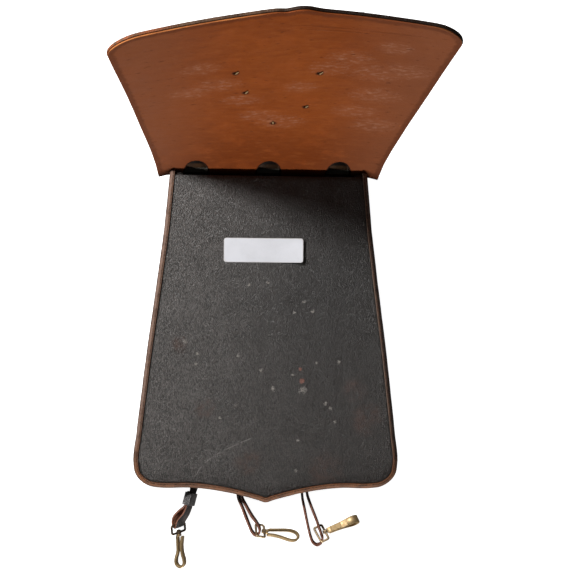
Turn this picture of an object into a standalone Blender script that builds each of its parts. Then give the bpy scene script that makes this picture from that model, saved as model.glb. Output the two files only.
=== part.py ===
"""Sabretache lying on its back, with the cover flap folded open and standing at the hinge.

Sizes are in millimetres. X runs across the pouch, Y from the foot of the pouch to the hinge and Z
up from the floor. Drawing places are measured from the hinge line, where the lining starts.
"""

import math

import bmesh
import bpy
from mathutils import Matrix, Vector

MM = 0.001
GAP = 0.3

# Pouch: levels above the floor and leather thicknesses
PANEL_CLEARANCE = 11.8
BACK_THICKNESS = 3.0
GUSSET_HEIGHT = 11.4
GUSSET_WALL = 2.2
GUSSET_INSET = 1.8
FLANGE_THICKNESS = 1.6
FLANGE_WIDTH = 11.2
FRONT_THICKNESS = 2.2
BACK_TOP = PANEL_CLEARANCE + BACK_THICKNESS
GUSSET_BOTTOM = BACK_TOP + GAP
GUSSET_TOP = GUSSET_BOTTOM + GUSSET_HEIGHT
FRONT_BOTTOM = GUSSET_TOP + GAP
FRONT_TOP = FRONT_BOTTOM + FRONT_THICKNESS

# Pouch outline, measured down from the hinge line
SIDE_ROWS = (
    # down, half width
    (0.0, 99.0),
    (30.0, 101.8),
    (60.0, 104.6),
    (95.0, 109.0),
    (132.0, 113.8),
    (178.0, 120.0),
    (225.0, 125.6),
    (262.0, 129.8),
    (296.0, 132.5),
)
CORNER_WIDE = 26.0
CORNER_DEEP = 22.2
BOTTOM_DOWN = 318.2
POINT_DEPTH = 14.8
POINT_HALF_WIDTH = 78.0
POINT_POWER = 1.65
BACK_TOP_DOWN = 6.3
FRONT_TOP_DOWN = 5.5
GUSSET_TOP_DOWN = 3.2
WELT_TOP_DOWN = 1.8
BACK_INSET = 0.6
WELT_WIDTH = 5.2
WELT_SECTION = (
    # in from the outline, level above the floor
    (0.0, 23.6),
    (0.0, 25.4),
    (3.6, 30.0),
    (4.8, 30.5),
    (WELT_WIDTH, 30.0),
    (WELT_WIDTH, FRONT_BOTTOM),
    (1.5, FRONT_BOTTOM),
    (1.5, 23.6),
)

# Paper label on the front
LABEL_WIDTH = 79.2
LABEL_HEIGHT = 24.2
LABEL_THICKNESS = 0.6
LABEL_CENTRE = (-5.0, -80.0)
LABEL_CORNER = 2.0

# Cover flap: lean from the floor, fold and outline, measured up the lining from the hinge line
FLAP_LEAN = math.radians(71.3)
HINGE_Y = 0.46
HINGE_Z = 19.0
LINING_THICKNESS = 1.2
OUTER_THICKNESS = 3.0
OUTER_FRONT = -LINING_THICKNESS - GAP
FOLD_RADIUS = 3.0
FLAP_HINGE_HALF_WIDTH = 111.7
FLAP_GROWTH = 0.121
FLAP_SIDE_UP = 291.0
FLAP_CORNER_WIDE = 27.5
FLAP_CORNER_DEEP = 23.5
FLAP_POINT_DEPTH = 9.8
FLAP_POINT_POWER = 1.75
FLAP_BOW = 18.5
FLAP_TWIST = 8.1
FLAP_CURL = 3.6
CURL_START = 92.0
CURL_WIDTH = 20.0
CURL_HEIGHT = 60.0
CURL_CUT = 105.5
WIDE_CUT = 126.5
LIP_HALF_WIDTH = 98.5
FOLD_END_HALF_WIDTH = 107.5
LINING_INSET = 0.8
NOTCH_CENTRES = (("left", -72.8), ("middle", -0.5), ("right", 69.8))
NOTCH_HALF_WIDTH = 11.9
NOTCH_HEIGHT = 24.0
PRONG_HOLE_RADIUS = 1.7
PRONGS = (
    # across, up the flap, direction of the bent end from straight up
    (-39.7, 218.5, -28.0),
    (-29.7, 179.3, -22.0),
    (-1.5, 111.8, 4.0),
    (26.5, 146.8, -24.0),
    (34.0, 213.7, -30.0),
)

# Rings behind the hinge and the tabs that hold them
RING_WIRE = 1.5
RING_HALF_LONG = 13.9
RING_NEAR = (10.0, 13.3)
RING_FAR = (19.0, 4.7)
TAB_WIDTH = 23.2
TAB_THICKNESS = 2.4

# Slings
SLING_WIDTH = 11.0
SLING_THICKNESS = 2.2
FRAME_WIRE = 1.15
FRAME_HALF_LONG = 9.05
FRAME_SHORT = 8.6
BOSS_RADIUS = 2.6
BOSS_HALF_LENGTH = 1.3
BOSS_HOLE_RADIUS = 1.5
HOOK_STRIP_WIDTH = 5.4
HOOK_STRIP_THICKNESS = 2.2
KEEPER_LENGTH = 12.6
KEEPER_WALL = 1.3
KEEPER_MARGIN = 0.4
SLINGS = {
    # hook bar centre, bar heading, bar rise, hook heading, hook fall, hook roll
    "left": ((-86.8, -365.6, 7.4), 193.0, 43.0, -87.0, 4.5, 28.0),
    "middle": ((-0.3, -364.3, 8.8), 273.5, 58.0, -10.4, 6.85, 152.0),
    "right": ((61.8, -364.8, 7.0), 298.9, 40.0, 21.3, 0.95, 245.0),
}
SLING_ROUTES = {
    # across, from the hinge line, lift off the floor, lean of the strap's width
    "left": (
        (-72.7, -80.0, 0.0, 0.0),
        (-72.2, -150.0, 0.0, 15.0),
        (-71.6, -230.0, 0.0, 32.0),
        (-70.8, -300.0, 0.2, 46.0),
        (-71.4, -317.5, 1.1, 50.0),
    ),
    "middle": (
        (-4.4, -80.0, 0.0, 0.0),
        (-9.5, -150.0, 0.0, 30.0),
        (-15.6, -230.0, 0.0, 60.0),
        (-21.3, -300.0, 0.0, 80.0),
        (-23.3, -330.5, 0.2, 82.0),
        (-18.9, -338.6, 0.8, 84.0),
        (-12.7, -349.1, 2.6, 86.0),
        (-8.0, -355.5, 3.8, 88.0),
        (-5.3, -361.0, 3.2, 88.0),
        (-5.4, -365.8, 1.8, 88.0),
        (-8.6, -368.4, 1.0, 88.0),
        (-12.3, -365.2, 0.5, 88.0),
        (-15.5, -358.4, 0.2, 88.0),
        (-19.7, -348.0, 0.2, 86.0),
        (-22.9, -339.8, 0.2, 84.0),
        (-26.8, -329.9, 0.2, 82.0),
        (-26.8, -318.0, 0.2, 82.0),
        (-24.9, -305.0, 0.2, 82.0),
    ),
    "right": (
        (65.4, -80.0, 0.0, 0.0),
        (58.4, -150.0, 0.0, 30.0),
        (50.2, -230.0, 0.0, 65.0),
        (43.0, -300.0, 0.0, 88.0),
        (43.4, -328.1, 0.0, 88.0),
        (46.2, -336.2, 0.2, 88.0),
        (49.9, -345.6, 1.0, 88.0),
        (53.1, -353.8, 2.4, 88.0),
        (55.0, -359.5, 3.0, 88.0),
        (57.6, -366.5, 1.4, 88.0),
        (59.2, -372.2, 0.2, 88.0),
        (57.6, -376.4, 0.0, 88.0),
        (53.3, -378.3, 0.0, 88.0),
        (49.5, -375.6, 0.0, 88.0),
        (47.1, -370.2, 0.0, 88.0),
        (45.5, -364.3, 0.0, 88.0),
        (43.3, -354.9, 0.0, 88.0),
        (40.9, -343.2, 0.0, 88.0),
        (38.1, -329.2, 0.0, 88.0),
        (38.1, -315.0, 0.0, 88.0),
        (39.9, -302.0, 0.0, 88.0),
    ),
}
KEEPER_RUN = (
    # across, from the hinge line, lift off the floor, lean of the strap's width
    (-73.0, -324.8, 2.9, 59.0),
    (-74.8, -331.9, 3.3, 59.0),
    (-76.6, -339.0, 3.7, 59.0),
)
LEFT_BELOW_KEEPER = (
    # across, from the hinge line, lift off the floor, lean of the strap's width
    (-79.4, -346.4, 4.0, 55.0),
    (-84.0, -353.4, 5.0, 46.0),
)
LEFT_RETURN = (
    # across, from the hinge line, lift off the floor, lean of the strap's width
    (-88.6, -352.6, 2.7, 46.0),
    (-84.0, -345.2, 2.6, 53.0),
)
RING_RUN = (
    # from the hinge line, lift off the floor
    (10.0, 5.1),
    (0.0, 3.1),
    (-10.0, 2.5),
    (-22.0, 0.9),
    (-36.0, 0.0),
)
HAIRPINS = {
    # along the hook from the swivel, sideways
    "left": (
        (2.6, -0.8),
        (5.0, -1.4),
        (7.5, -1.4),
        (15.5, -1.4),
        (18.0, -1.4),
        (22.5, -2.6),
        (28.0, -4.3),
        (32.2, -4.1),
        (35.0, -1.6),
        (35.0, 2.2),
        (32.2, 4.6),
        (28.0, 4.9),
        (22.5, 3.6),
        (18.0, 2.9),
        (13.0, 2.8),
        (8.0, 3.4),
        (5.0, 4.4),
    ),
    "middle": (
        (2.6, -0.8),
        (5.0, -2.175),
        (8.0, -2.7),
        (12.0, -3.4),
        (16.0, -4.1),
        (19.0, -4.625),
        (24.0, -5.2),
        (29.0, -5.1),
        (33.0, -3.9),
        (35.3, -1.2),
        (35.0, 2.0),
        (32.2, 4.2),
        (28.0, 4.8),
        (22.0, 4.0),
        (16.0, 3.1),
        (11.0, 2.6),
        (7.5, 2.6),
        (5.0, 3.0),
    ),
    "right": (
        (2.6, -0.8),
        (5.0, -1.6),
        (7.5, -1.6),
        (15.5, -1.6),
        (18.0, -1.6),
        (22.5, -2.9),
        (28.0, -4.4),
        (32.2, -4.1),
        (35.0, -1.6),
        (35.0, 2.0),
        (32.2, 4.4),
        (28.0, 4.7),
        (22.5, 3.4),
        (18.0, 2.5),
        (13.0, 2.4),
        (8.0, 3.0),
        (5.0, 4.2),
    ),
}
SWIVEL_PROFILE = (
    # along the axis, radius
    (-2.5, 0.0),
    (-2.5, 2.2),
    (-1.65, 2.2),
    (-1.65, 1.15),
    (1.65, 1.15),
    (1.65, 2.6),
    (3.6, 2.6),
    (3.6, 0.0),
)


def clear_scene():
    for obj in list(bpy.data.objects):
        bpy.data.objects.remove(obj, do_unlink=True)


def make_material(name, colour, roughness, metallic=0.0):
    material = bpy.data.materials.new(name)
    material.use_nodes = True
    shader = material.node_tree.nodes["Principled BSDF"]
    shader.inputs["Base Color"].default_value = (*colour, 1.0)
    shader.inputs["Roughness"].default_value = roughness
    shader.inputs["Metallic"].default_value = metallic
    return material


def make_materials():
    return {
        "pebbled": make_material("black_pebbled_leather", (0.045, 0.041, 0.04), 0.55),
        "black": make_material("black_leather", (0.025, 0.022, 0.02), 0.5),
        "tan": make_material("tan_leather", (0.23, 0.075, 0.02), 0.55),
        "edge": make_material("raw_leather_edge", (0.2, 0.08, 0.035), 0.7),
        "strap": make_material("strap_leather", (0.05, 0.026, 0.016), 0.6),
        "brass": make_material("aged_brass", (0.42, 0.29, 0.11), 0.38, 1.0),
        "iron": make_material("darkened_wire", (0.12, 0.1, 0.07), 0.45, 1.0),
        "paper": make_material("paper", (0.8, 0.8, 0.78), 0.9),
    }


def add_piece(name, bm, material, root, smooth_angle=None, matrix=None):
    """Turns a bmesh whose points are in millimetres into a named object under the root."""
    bmesh.ops.recalc_face_normals(bm, faces=bm.faces)
    bmesh.ops.scale(bm, vec=(MM, MM, MM), verts=bm.verts)
    mesh = bpy.data.meshes.new(name)
    bm.to_mesh(mesh)
    bm.free()
    mesh.materials.append(material)
    if smooth_angle is not None:
        mesh.shade_smooth()
        mesh.set_sharp_from_angle(angle=math.radians(smooth_angle))
    obj = bpy.data.objects.new(name, mesh)
    bpy.context.scene.collection.objects.link(obj)
    obj.parent = root
    if matrix is not None:
        obj.matrix_local = matrix
    return obj


def combine(obj, helper, operation):
    """Adds a Boolean with a helper that isn't part of the object itself."""
    helper.hide_render = True
    helper.display_type = "WIRE"
    modifier = obj.modifiers.new(helper.name, "BOOLEAN")
    modifier.operation = operation
    modifier.solver = "EXACT"
    modifier.object = helper


def flat_plate(outline, bottom, top):
    """A flat piece cut to an outline, between two levels."""
    bm = bmesh.new()
    face = bm.faces.new([bm.verts.new((x, y, bottom)) for x, y in outline])
    made = bmesh.ops.extrude_face_region(bm, geom=[face])["geom"]
    raised = [part for part in made if isinstance(part, bmesh.types.BMVert)]
    bmesh.ops.translate(bm, vec=(0.0, 0.0, top - bottom), verts=raised)
    return bm


def sweep(sections, closed=False):
    """A solid through equal sections, one after the other; a closed one ends where it starts."""
    bm = bmesh.new()
    first = bm.faces.new([bm.verts.new(point) for point in sections[0]])
    last = first
    following = list(sections[1:]) + ([sections[0]] if closed else [])
    for section in following:
        made = bmesh.ops.extrude_face_region(bm, geom=[last, *last.edges])["geom"]
        last = next(part for part in made if isinstance(part, bmesh.types.BMFace))
        for vert, point in zip(last.verts, section):
            vert.co = point
    if closed:
        bmesh.ops.delete(bm, geom=[first, last], context="FACES_ONLY")
        bmesh.ops.remove_doubles(bm, verts=bm.verts, dist=0.001)
    return bm


def smooth_rows(rows, steps):
    """Rows of numbers with further rows between them, on a curve through all of them."""
    rows = [Vector(row) for row in rows]
    pairs = list(zip(rows, rows[1:]))
    lengths = [Vector(tuple(end - start)[:3]).length for start, end in pairs]
    slopes = [(end - start) / length for (start, end), length in zip(pairs, lengths)]
    turns = [slopes[0]]
    for index in range(1, len(slopes)):
        near, far = lengths[index - 1], lengths[index]
        turns.append((slopes[index - 1] * far + slopes[index] * near) / (near + far))
    turns.append(slopes[-1])
    result = []
    for index, (start, end) in enumerate(pairs):
        leave, arrive = turns[index] * lengths[index], turns[index + 1] * lengths[index]
        for step in range(steps):
            t = step / steps
            rise = t * t * (3.0 - 2.0 * t)
            place = start * (1.0 - rise) + end * rise
            result.append(place + leave * t * (1.0 - t) ** 2 - arrive * t * t * (1.0 - t))
    return result + [rows[-1]]


def point_down(x, half_width, depth, power):
    """How far the soft point at the foot stands below its straight shoulders."""
    ratio = min(abs(x) / half_width, 1.0)
    return depth * (1.0 - ratio) ** power


def half_width_at(down):
    """The pouch's half width at a distance down from the hinge line."""
    for (near, wide), (far, wider) in zip(SIDE_ROWS, SIDE_ROWS[1:]):
        if down <= far:
            return wide + (wider - wide) * (down - near) / (far - near)
    return SIDE_ROWS[-1][1]


def pouch_outline(top_down):
    """Points from the top right corner round the foot to the top left one."""
    right = [(half_width_at(top_down), -top_down)]
    right += [(wide, -down) for down, wide in SIDE_ROWS if down > top_down + 5.0]
    side_end, widest = SIDE_ROWS[-1]
    for step in range(1, 6):
        angle = math.radians(18.0 * step)
        across = widest - CORNER_WIDE + CORNER_WIDE * math.cos(angle)
        right.append((across, -side_end - CORNER_DEEP * math.sin(angle)))
    for ratio in (1.0, 0.84, 0.68, 0.52, 0.36, 0.22, 0.1):
        x = POINT_HALF_WIDTH * ratio
        drop = point_down(x, POINT_HALF_WIDTH, POINT_DEPTH, POINT_POWER)
        right.append((x, -BOTTOM_DOWN - drop))
    tip = (0.0, -BOTTOM_DOWN - POINT_DEPTH)
    return right + [tip] + [(-x, y) for x, y in reversed(right)]


def inward_directions(outline):
    """The direction inward at each point of an open outline, lengthened at its corners."""
    result = []
    for index in range(len(outline)):
        here = Vector(outline[index])
        before = Vector(outline[index - 1]) if index else None
        after = Vector(outline[index + 1]) if index + 1 < len(outline) else None
        if before is None or after is None:
            side = -1.0 if before is None else 1.0
            result.append(Vector((side, 0.0)))
            continue
        first = (here - before).normalized()
        second = (after - here).normalized()
        first_in = Vector((first.y, -first.x))
        second_in = Vector((second.y, -second.x))
        middle = (first_in + second_in).normalized()
        result.append(middle / middle.dot(first_in))
    return result


def inset_outline(outline, inset):
    return [
        tuple(Vector(point) + direction * inset)
        for point, direction in zip(outline, inward_directions(outline))
    ]


def edge_sections(top_down, section):
    """A section carried round the sides and foot of the pouch, open at the top."""
    outline = pouch_outline(top_down)
    sections = []
    for point, direction in zip(outline, inward_directions(outline)):
        places = [(Vector(point) + direction * inset, level) for inset, level in section]
        sections.append([Vector((place.x, place.y, level)) for place, level in places])
    return sections


def add_pouch(materials, root):
    back = inset_outline(pouch_outline(BACK_TOP_DOWN), BACK_INSET)
    add_piece("back_panel", flat_plate(back, PANEL_CLEARANCE, BACK_TOP), materials["black"], root)
    front = inset_outline(pouch_outline(FRONT_TOP_DOWN), WELT_WIDTH + GAP)
    bm = flat_plate(front, FRONT_BOTTOM, FRONT_TOP)
    add_piece("front_panel", bm, materials["pebbled"], root)
    wall = GUSSET_INSET + GUSSET_WALL
    under_flange = GUSSET_TOP - FLANGE_THICKNESS
    gusset = (
        (GUSSET_INSET, GUSSET_BOTTOM),
        (GUSSET_INSET, under_flange - GAP),
        (wall, under_flange - GAP),
        (wall, GUSSET_BOTTOM),
    )
    bm = sweep(edge_sections(GUSSET_TOP_DOWN, gusset))
    add_piece("gusset", bm, materials["black"], root)
    flange = (
        (GUSSET_INSET, under_flange),
        (GUSSET_INSET, GUSSET_TOP),
        (GUSSET_INSET + FLANGE_WIDTH, GUSSET_TOP),
        (GUSSET_INSET + FLANGE_WIDTH, under_flange),
    )
    bm = sweep(edge_sections(GUSSET_TOP_DOWN, flange))
    add_piece("gusset_flange", bm, materials["black"], root)
    bm = sweep(edge_sections(WELT_TOP_DOWN, WELT_SECTION))
    add_piece("edge_welt", bm, materials["edge"], root)


def add_label(materials, root):
    outline = rounded_rectangle(LABEL_WIDTH / 2, LABEL_HEIGHT / 2, LABEL_CORNER, 3)
    points = [tuple(Vector(LABEL_CENTRE) + point) for point, _ in outline]
    bm = flat_plate(points, FRONT_TOP + GAP, FRONT_TOP + GAP + LABEL_THICKNESS)
    add_piece("paper_label", bm, materials["paper"], root)


def flap_outline(start_up, inset):
    """The flap laid flat, from its hinge edge round the far edge, without the hinge edge."""
    right = []
    for up in (start_up, 60.0, 120.0, 180.0, 240.0, FLAP_SIDE_UP):
        right.append((FLAP_HINGE_HALF_WIDTH + FLAP_GROWTH * up - inset, up))
    shoulder = right[-1][0] - FLAP_CORNER_WIDE
    for step in range(1, 6):
        angle = math.radians(18.0 * step)
        across = shoulder + FLAP_CORNER_WIDE * math.cos(angle)
        right.append((across, FLAP_SIDE_UP + (FLAP_CORNER_DEEP - inset) * math.sin(angle)))
    far_up = FLAP_SIDE_UP + FLAP_CORNER_DEEP - inset
    for ratio in (0.84, 0.68, 0.52, 0.36, 0.2, 0.08):
        x = shoulder * ratio
        rise = point_down(x, shoulder, FLAP_POINT_DEPTH, FLAP_POINT_POWER)
        right.append((x, far_up + rise))
    tip = (0.0, far_up + FLAP_POINT_DEPTH)
    return right + [tip] + [(-x, up) for x, up in reversed(right)]


def notch_edge(centre, bottom_up):
    """One arched notch in the hinge edge, from its left foot to its right one."""
    points = [(centre - NOTCH_HALF_WIDTH, bottom_up)] if bottom_up < 0.0 else []
    for step in range(9):
        angle = math.pi * (1.0 - step / 8.0)
        across = centre + NOTCH_HALF_WIDTH * math.cos(angle)
        points.append((across, NOTCH_HEIGHT * math.sin(angle)))
    if bottom_up < 0.0:
        points.append((centre + NOTCH_HALF_WIDTH, bottom_up))
    return points


def fold_lengths():
    """Distances down the flap from the hinge line to the fold's end, its start and the lip's edge."""
    front_z = HINGE_Z + OUTER_FRONT * math.cos(FLAP_LEAN)
    fold_end_z = BACK_TOP + FOLD_RADIUS * (1.0 - math.cos(FLAP_LEAN))
    to_end = (front_z - fold_end_z) / math.sin(FLAP_LEAN)
    to_start = to_end + FOLD_RADIUS * FLAP_LEAN
    front_y = HINGE_Y - OUTER_FRONT * math.sin(FLAP_LEAN)
    start_y = front_y - to_end * math.cos(FLAP_LEAN) - FOLD_RADIUS * math.sin(FLAP_LEAN)
    to_lip = to_start + start_y + BACK_TOP_DOWN - GAP
    return to_end, to_start, to_lip


def folded(across, up, depth):
    """Where a point of the flat flap lies once it is folded up, bowed and curled."""
    to_end, to_start, _ = fold_lengths()
    lean = FLAP_LEAN
    if up < -to_end:
        lean = FLAP_LEAN * max(0.0, (up + to_start) / (to_start - to_end))
    normal = Vector((0.0, -math.sin(lean), math.cos(lean)))
    straight = Vector((0.0, math.cos(FLAP_LEAN), math.sin(FLAP_LEAN)))
    front = Vector((0.0, -math.sin(FLAP_LEAN), math.cos(FLAP_LEAN)))
    place = Vector((across, HINGE_Y, HINGE_Z)) + front * OUTER_FRONT
    if up >= -to_end:
        place += straight * up
    else:
        centre = place - straight * to_end + front * FOLD_RADIUS
        place = centre - normal * FOLD_RADIUS
        place.y += min(0.0, up + to_start)
    high = max(up, 0.0) / FLAP_SIDE_UP
    sideways = across / (FLAP_HINGE_HALF_WIDTH + FLAP_GROWTH * FLAP_SIDE_UP)
    bow = FLAP_BOW * high * sideways**2 - FLAP_TWIST * high * sideways
    corner = max(0.0, abs(across) - CURL_START) / CURL_WIDTH
    bow += FLAP_CURL * corner**2 * max(0.0, 1.0 - max(up, 0.0) / CURL_HEIGHT) ** 2
    return place + normal * (depth - OUTER_FRONT) + front * bow * (lean / FLAP_LEAN)


def bent_plate(outline, front, back, cut_ups):
    """A flat flap piece cut into a grid, thickened and then folded into its standing shape."""
    bm = bmesh.new()
    bm.faces.new([bm.verts.new((x, up, 0.0)) for x, up in outline])
    across = [16.5 * step for step in range(-6, 7)]
    across += [-WIDE_CUT, -CURL_CUT, CURL_CUT, WIDE_CUT]
    cuts = [((x, 0.0, 0.0), (1.0, 0.0, 0.0)) for x in across]
    cuts += [((0.0, up, 0.0), (0.0, 1.0, 0.0)) for up in cut_ups]
    for place, direction in cuts:
        parts = list(bm.verts) + list(bm.edges) + list(bm.faces)
        bmesh.ops.bisect_plane(bm, geom=parts, dist=0.01, plane_co=place, plane_no=direction)
    bmesh.ops.triangulate(bm, faces=bm.faces, quad_method="SHORT_EDGE")
    front_verts = list(bm.verts)
    made = bmesh.ops.extrude_face_region(bm, geom=list(bm.faces))["geom"]
    back_verts = [part for part in made if isinstance(part, bmesh.types.BMVert)]
    for verts, depth in ((front_verts, front), (back_verts, back)):
        for vert in verts:
            vert.co = folded(vert.co.x, vert.co.y, depth)
    return bm


def drill_prong_holes(obj, materials, root):
    """Small holes through one leather of the flap, where the badge's prongs went."""
    for index, (across, up, _) in enumerate(PRONGS, start=1):
        bm = bmesh.new()
        bmesh.ops.create_cone(
            bm,
            cap_ends=True,
            segments=8,
            radius1=PRONG_HOLE_RADIUS,
            radius2=PRONG_HOLE_RADIUS,
            depth=16.0,
        )
        axis = (folded(across, up, 1.0) - folded(across, up, 0.0)).normalized()
        turn = Vector((0.0, 0.0, 1.0)).rotation_difference(axis).to_matrix().to_4x4()
        place = Matrix.Translation(folded(across, up, OUTER_FRONT) * MM)
        name = f"{obj.name}_hole_{index}"
        cutter = add_piece(name, bm, materials["black"], root, matrix=place @ turn)
        combine(obj, cutter, "DIFFERENCE")


def add_flap(materials, root):
    to_end, to_start, to_lip = fold_lengths()
    grid = [12.5] + [25.0 * step for step in range(1, 14)]
    hinge_edge = [(-FOLD_END_HALF_WIDTH, -to_start), (-LIP_HALF_WIDTH, -to_start)]
    hinge_edge.append((-LIP_HALF_WIDTH, -to_lip))
    for _, centre in NOTCH_CENTRES:
        hinge_edge += notch_edge(centre, -to_lip)
    hinge_edge += [(LIP_HALF_WIDTH, -to_lip), (LIP_HALF_WIDTH, -to_start)]
    hinge_edge.append((FOLD_END_HALF_WIDTH, -to_start))
    outline = flap_outline(0.0, 0.0) + hinge_edge
    fold_cuts = [-to_start + (to_start - to_end) * step / 3.0 for step in range(4)]
    cuts = fold_cuts + [0.0] + grid
    outer = bent_plate(outline, OUTER_FRONT, OUTER_FRONT - OUTER_THICKNESS, cuts)
    outer_piece = add_piece("flap_outer", outer, materials["black"], root, 30.0)
    lower_edge = []
    for _, centre in NOTCH_CENTRES:
        lower_edge += notch_edge(centre, 0.0)
    outline = flap_outline(0.0, LINING_INSET) + lower_edge
    lining = bent_plate(outline, 0.0, -LINING_THICKNESS, grid)
    lining_piece = add_piece("flap_lining", lining, materials["tan"], root, 30.0)
    for piece in (outer_piece, lining_piece):
        drill_prong_holes(piece, materials, root)


def add_prongs(materials, root):
    """Flat brass prongs that come through the flap and are bent over on the lining."""
    wide, thick, reach = 1.5, 0.8, 5.0
    over = GAP + thick / 2
    for index, (across, up, heading) in enumerate(PRONGS, start=1):
        angle = math.radians(heading)
        along = Vector((-math.sin(angle), math.cos(angle)))
        side = Vector((along.y, -along.x))
        # distance along the bent end, depth from the lining, lengthwise and depthwise half sizes
        rows = (
            (0.0, -4.2, thick / 2, 0.0),
            (0.0, over - 0.5, thick / 2, 0.0),
            (0.2, over, thick / 3, -thick / 3),
            (0.9, over, 0.0, -thick / 2),
            (reach, over, 0.0, -thick / 2),
        )
        sections = []
        for distance, depth, half_along, half_deep in rows:
            corners = []
            for sideways, lift in ((-1, -1), (1, -1), (1, 1), (-1, 1)):
                flat = Vector((across, up)) + side * (sideways * wide / 2)
                flat += along * (distance + lift * half_along)
                corners.append(folded(flat.x, flat.y, depth + lift * half_deep))
            sections.append(corners)
        add_piece(f"prong_{index}", sweep(sections), materials["brass"], root)


def circle_section(radius, sides):
    """A wire's section: out from the loop and along its axis."""
    turns = [2.0 * math.pi * (step + 0.5) / sides for step in range(sides)]
    return [(radius * math.cos(turn), radius * math.sin(turn)) for turn in turns]


def rounded_rectangle(half_long, half_short, corner, steps):
    """Points round a rectangle with round corners, each with its outward direction."""
    result = []
    for quarter, (sign_x, sign_y) in enumerate(((1, 1), (-1, 1), (-1, -1), (1, -1))):
        centre = Vector((sign_x * (half_long - corner), sign_y * (half_short - corner)))
        for step in range(steps + 1):
            angle = math.radians(90.0 * (quarter + step / steps))
            outward = Vector((math.cos(angle), math.sin(angle)))
            result.append((centre + outward * corner, outward))
    return result


def loop_solid(half_long, half_short, corner, section, steps=3):
    """A section carried round a rounded rectangle that lies flat about its own centre."""
    sections = []
    for point, outward in rounded_rectangle(half_long, half_short, corner, steps):
        places = [(point + outward * out, level) for out, level in section]
        sections.append([Vector((place.x, place.y, level)) for place, level in places])
    return sweep(sections, closed=True)


def facing(x_axis, y_axis, place):
    """A frame of reference from two directions and a place in millimetres."""
    z_axis = x_axis.cross(y_axis)
    matrix = Matrix((x_axis, y_axis, z_axis)).transposed().to_4x4()
    return Matrix.Translation(place * MM) @ matrix


def add_rings(materials, root):
    near, far = Vector((0.0, *RING_NEAR)), Vector((0.0, *RING_FAR))
    slope = (far - near).normalized()
    half_short = (far - near).length / 2
    for side, across in NOTCH_CENTRES:
        place = (near + far) / 2 + Vector((across, 0.0, 0.0))
        matrix = facing(Vector((1.0, 0.0, 0.0)), slope, place)
        bm = loop_solid(RING_HALF_LONG, half_short, 3.0, circle_section(RING_WIRE, 8))
        add_piece(f"ring_{side}", bm, materials["iron"], root, 50.0, matrix)


def strap_sections(route, width, thickness):
    """Rectangular sections along a route of places and width directions."""
    sections = []
    for index, (place, wide) in enumerate(route):
        before = route[max(index - 1, 0)][0]
        after = route[min(index + 1, len(route) - 1)][0]
        along = (after - before).normalized()
        across = (wide - along * wide.dot(along)).normalized()
        through = along.cross(across)
        half_wide, half_thick = across * (width / 2), through * (thickness / 2)
        sections.append(
            [
                place - half_wide - half_thick,
                place + half_wide - half_thick,
                place + half_wide + half_thick,
                place - half_wide + half_thick,
            ]
        )
    return sections


def add_ring_tabs(materials, root):
    """Black tabs that clasp the pouch's top edge and hold the rings behind the notches."""
    near_y, near_z = RING_NEAR
    turn_radius = RING_WIRE + GAP + TAB_THICKNESS / 2
    low, high = near_z - turn_radius, near_z + turn_radius
    rows = [(-30.0, low), (-16.0, low), (0.0, low)]
    for step in range(7):
        angle = math.radians(-90.0 + 30.0 * step)
        rows.append((near_y + turn_radius * math.cos(angle), near_z + turn_radius * math.sin(angle)))
    rows += [(4.0, high + 0.6), (-1.0, high + 1.2), (-6.0, high + 0.5), (-14.0, high), (-30.0, high)]
    for side, across in NOTCH_CENTRES:
        wide = Vector((1.0, 0.0, 0.0))
        route = [(Vector((across, y, z)), wide) for y, z in smooth_rows(rows, 1)]
        bm = sweep(strap_sections(route, TAB_WIDTH, TAB_THICKNESS))
        add_piece(f"ring_tab_{side}", bm, materials["black"], root, 35.0)


def leaning(lean, heading=180.0):
    """The direction of a strap's width, up from its low edge: flat at 0, on edge at 90."""
    return unit(heading, -lean)


def resting_height(lean):
    """How high the middle of a strap lies when its lowest edge is on the floor."""
    angle = math.radians(lean)
    on_edge = abs(math.sin(angle)) * SLING_WIDTH / 2
    return on_edge + abs(math.cos(angle)) * SLING_THICKNESS / 2


def unit(heading, fall):
    """A direction from its heading in plan and its fall below the horizontal, in degrees."""
    turn, drop = math.radians(heading), math.radians(fall)
    level = math.cos(drop)
    return Vector((level * math.cos(turn), level * math.sin(turn), -math.sin(drop)))


def frame_axes(side):
    """Hook bar centre, direction of the bars, direction to the hook, and the hook's own axis."""
    centre, heading, rise, hook_heading, hook_fall, _ = SLINGS[side]
    bar = unit(heading, -rise)
    axis = unit(hook_heading, hook_fall)
    out = (axis - bar * axis.dot(bar)).normalized()
    return Vector(centre), bar, out, axis


def ring_end_rows(across):
    """The sling's end folded back round its ring, up to where it runs under the pouch."""
    far_y, far_z = RING_FAR
    radius = RING_WIRE + GAP + SLING_THICKNESS / 2
    rows = [(across, -10.0, 0.0, 0.0), (across, 3.0, 0.0, 0.0), (across, 12.0, 0.1, 0.0)]
    for step in range(5):
        angle = math.radians(-90.0 + 45.0 * step)
        lift = far_z + radius * math.sin(angle) - SLING_THICKNESS / 2
        rows.append((across, far_y + radius * math.cos(angle), lift, 0.0))
    return rows + [(across, from_hinge, lift, 0.0) for from_hinge, lift in RING_RUN]


def bar_turn_rows(side):
    """The sling's close turn round its frame's bar, with its width along the bar."""
    centre, bar, out, _ = frame_axes(side)
    _, heading, lean, *_ = SLINGS[side]
    strap_bar = centre - out * FRAME_SHORT
    upper = bar.cross(out).normalized()
    upper = upper if upper.z > 0.0 else -upper
    radius = FRAME_WIRE + GAP + SLING_THICKNESS / 2
    rows = []
    for step in range(5):
        angle = math.radians(90.0 - 45.0 * step)
        place = strap_bar + (out * math.cos(angle) + upper * math.sin(angle)) * radius
        rows.append((place.x, place.y, place.z - resting_height(lean), lean, heading))
    return rows


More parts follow.
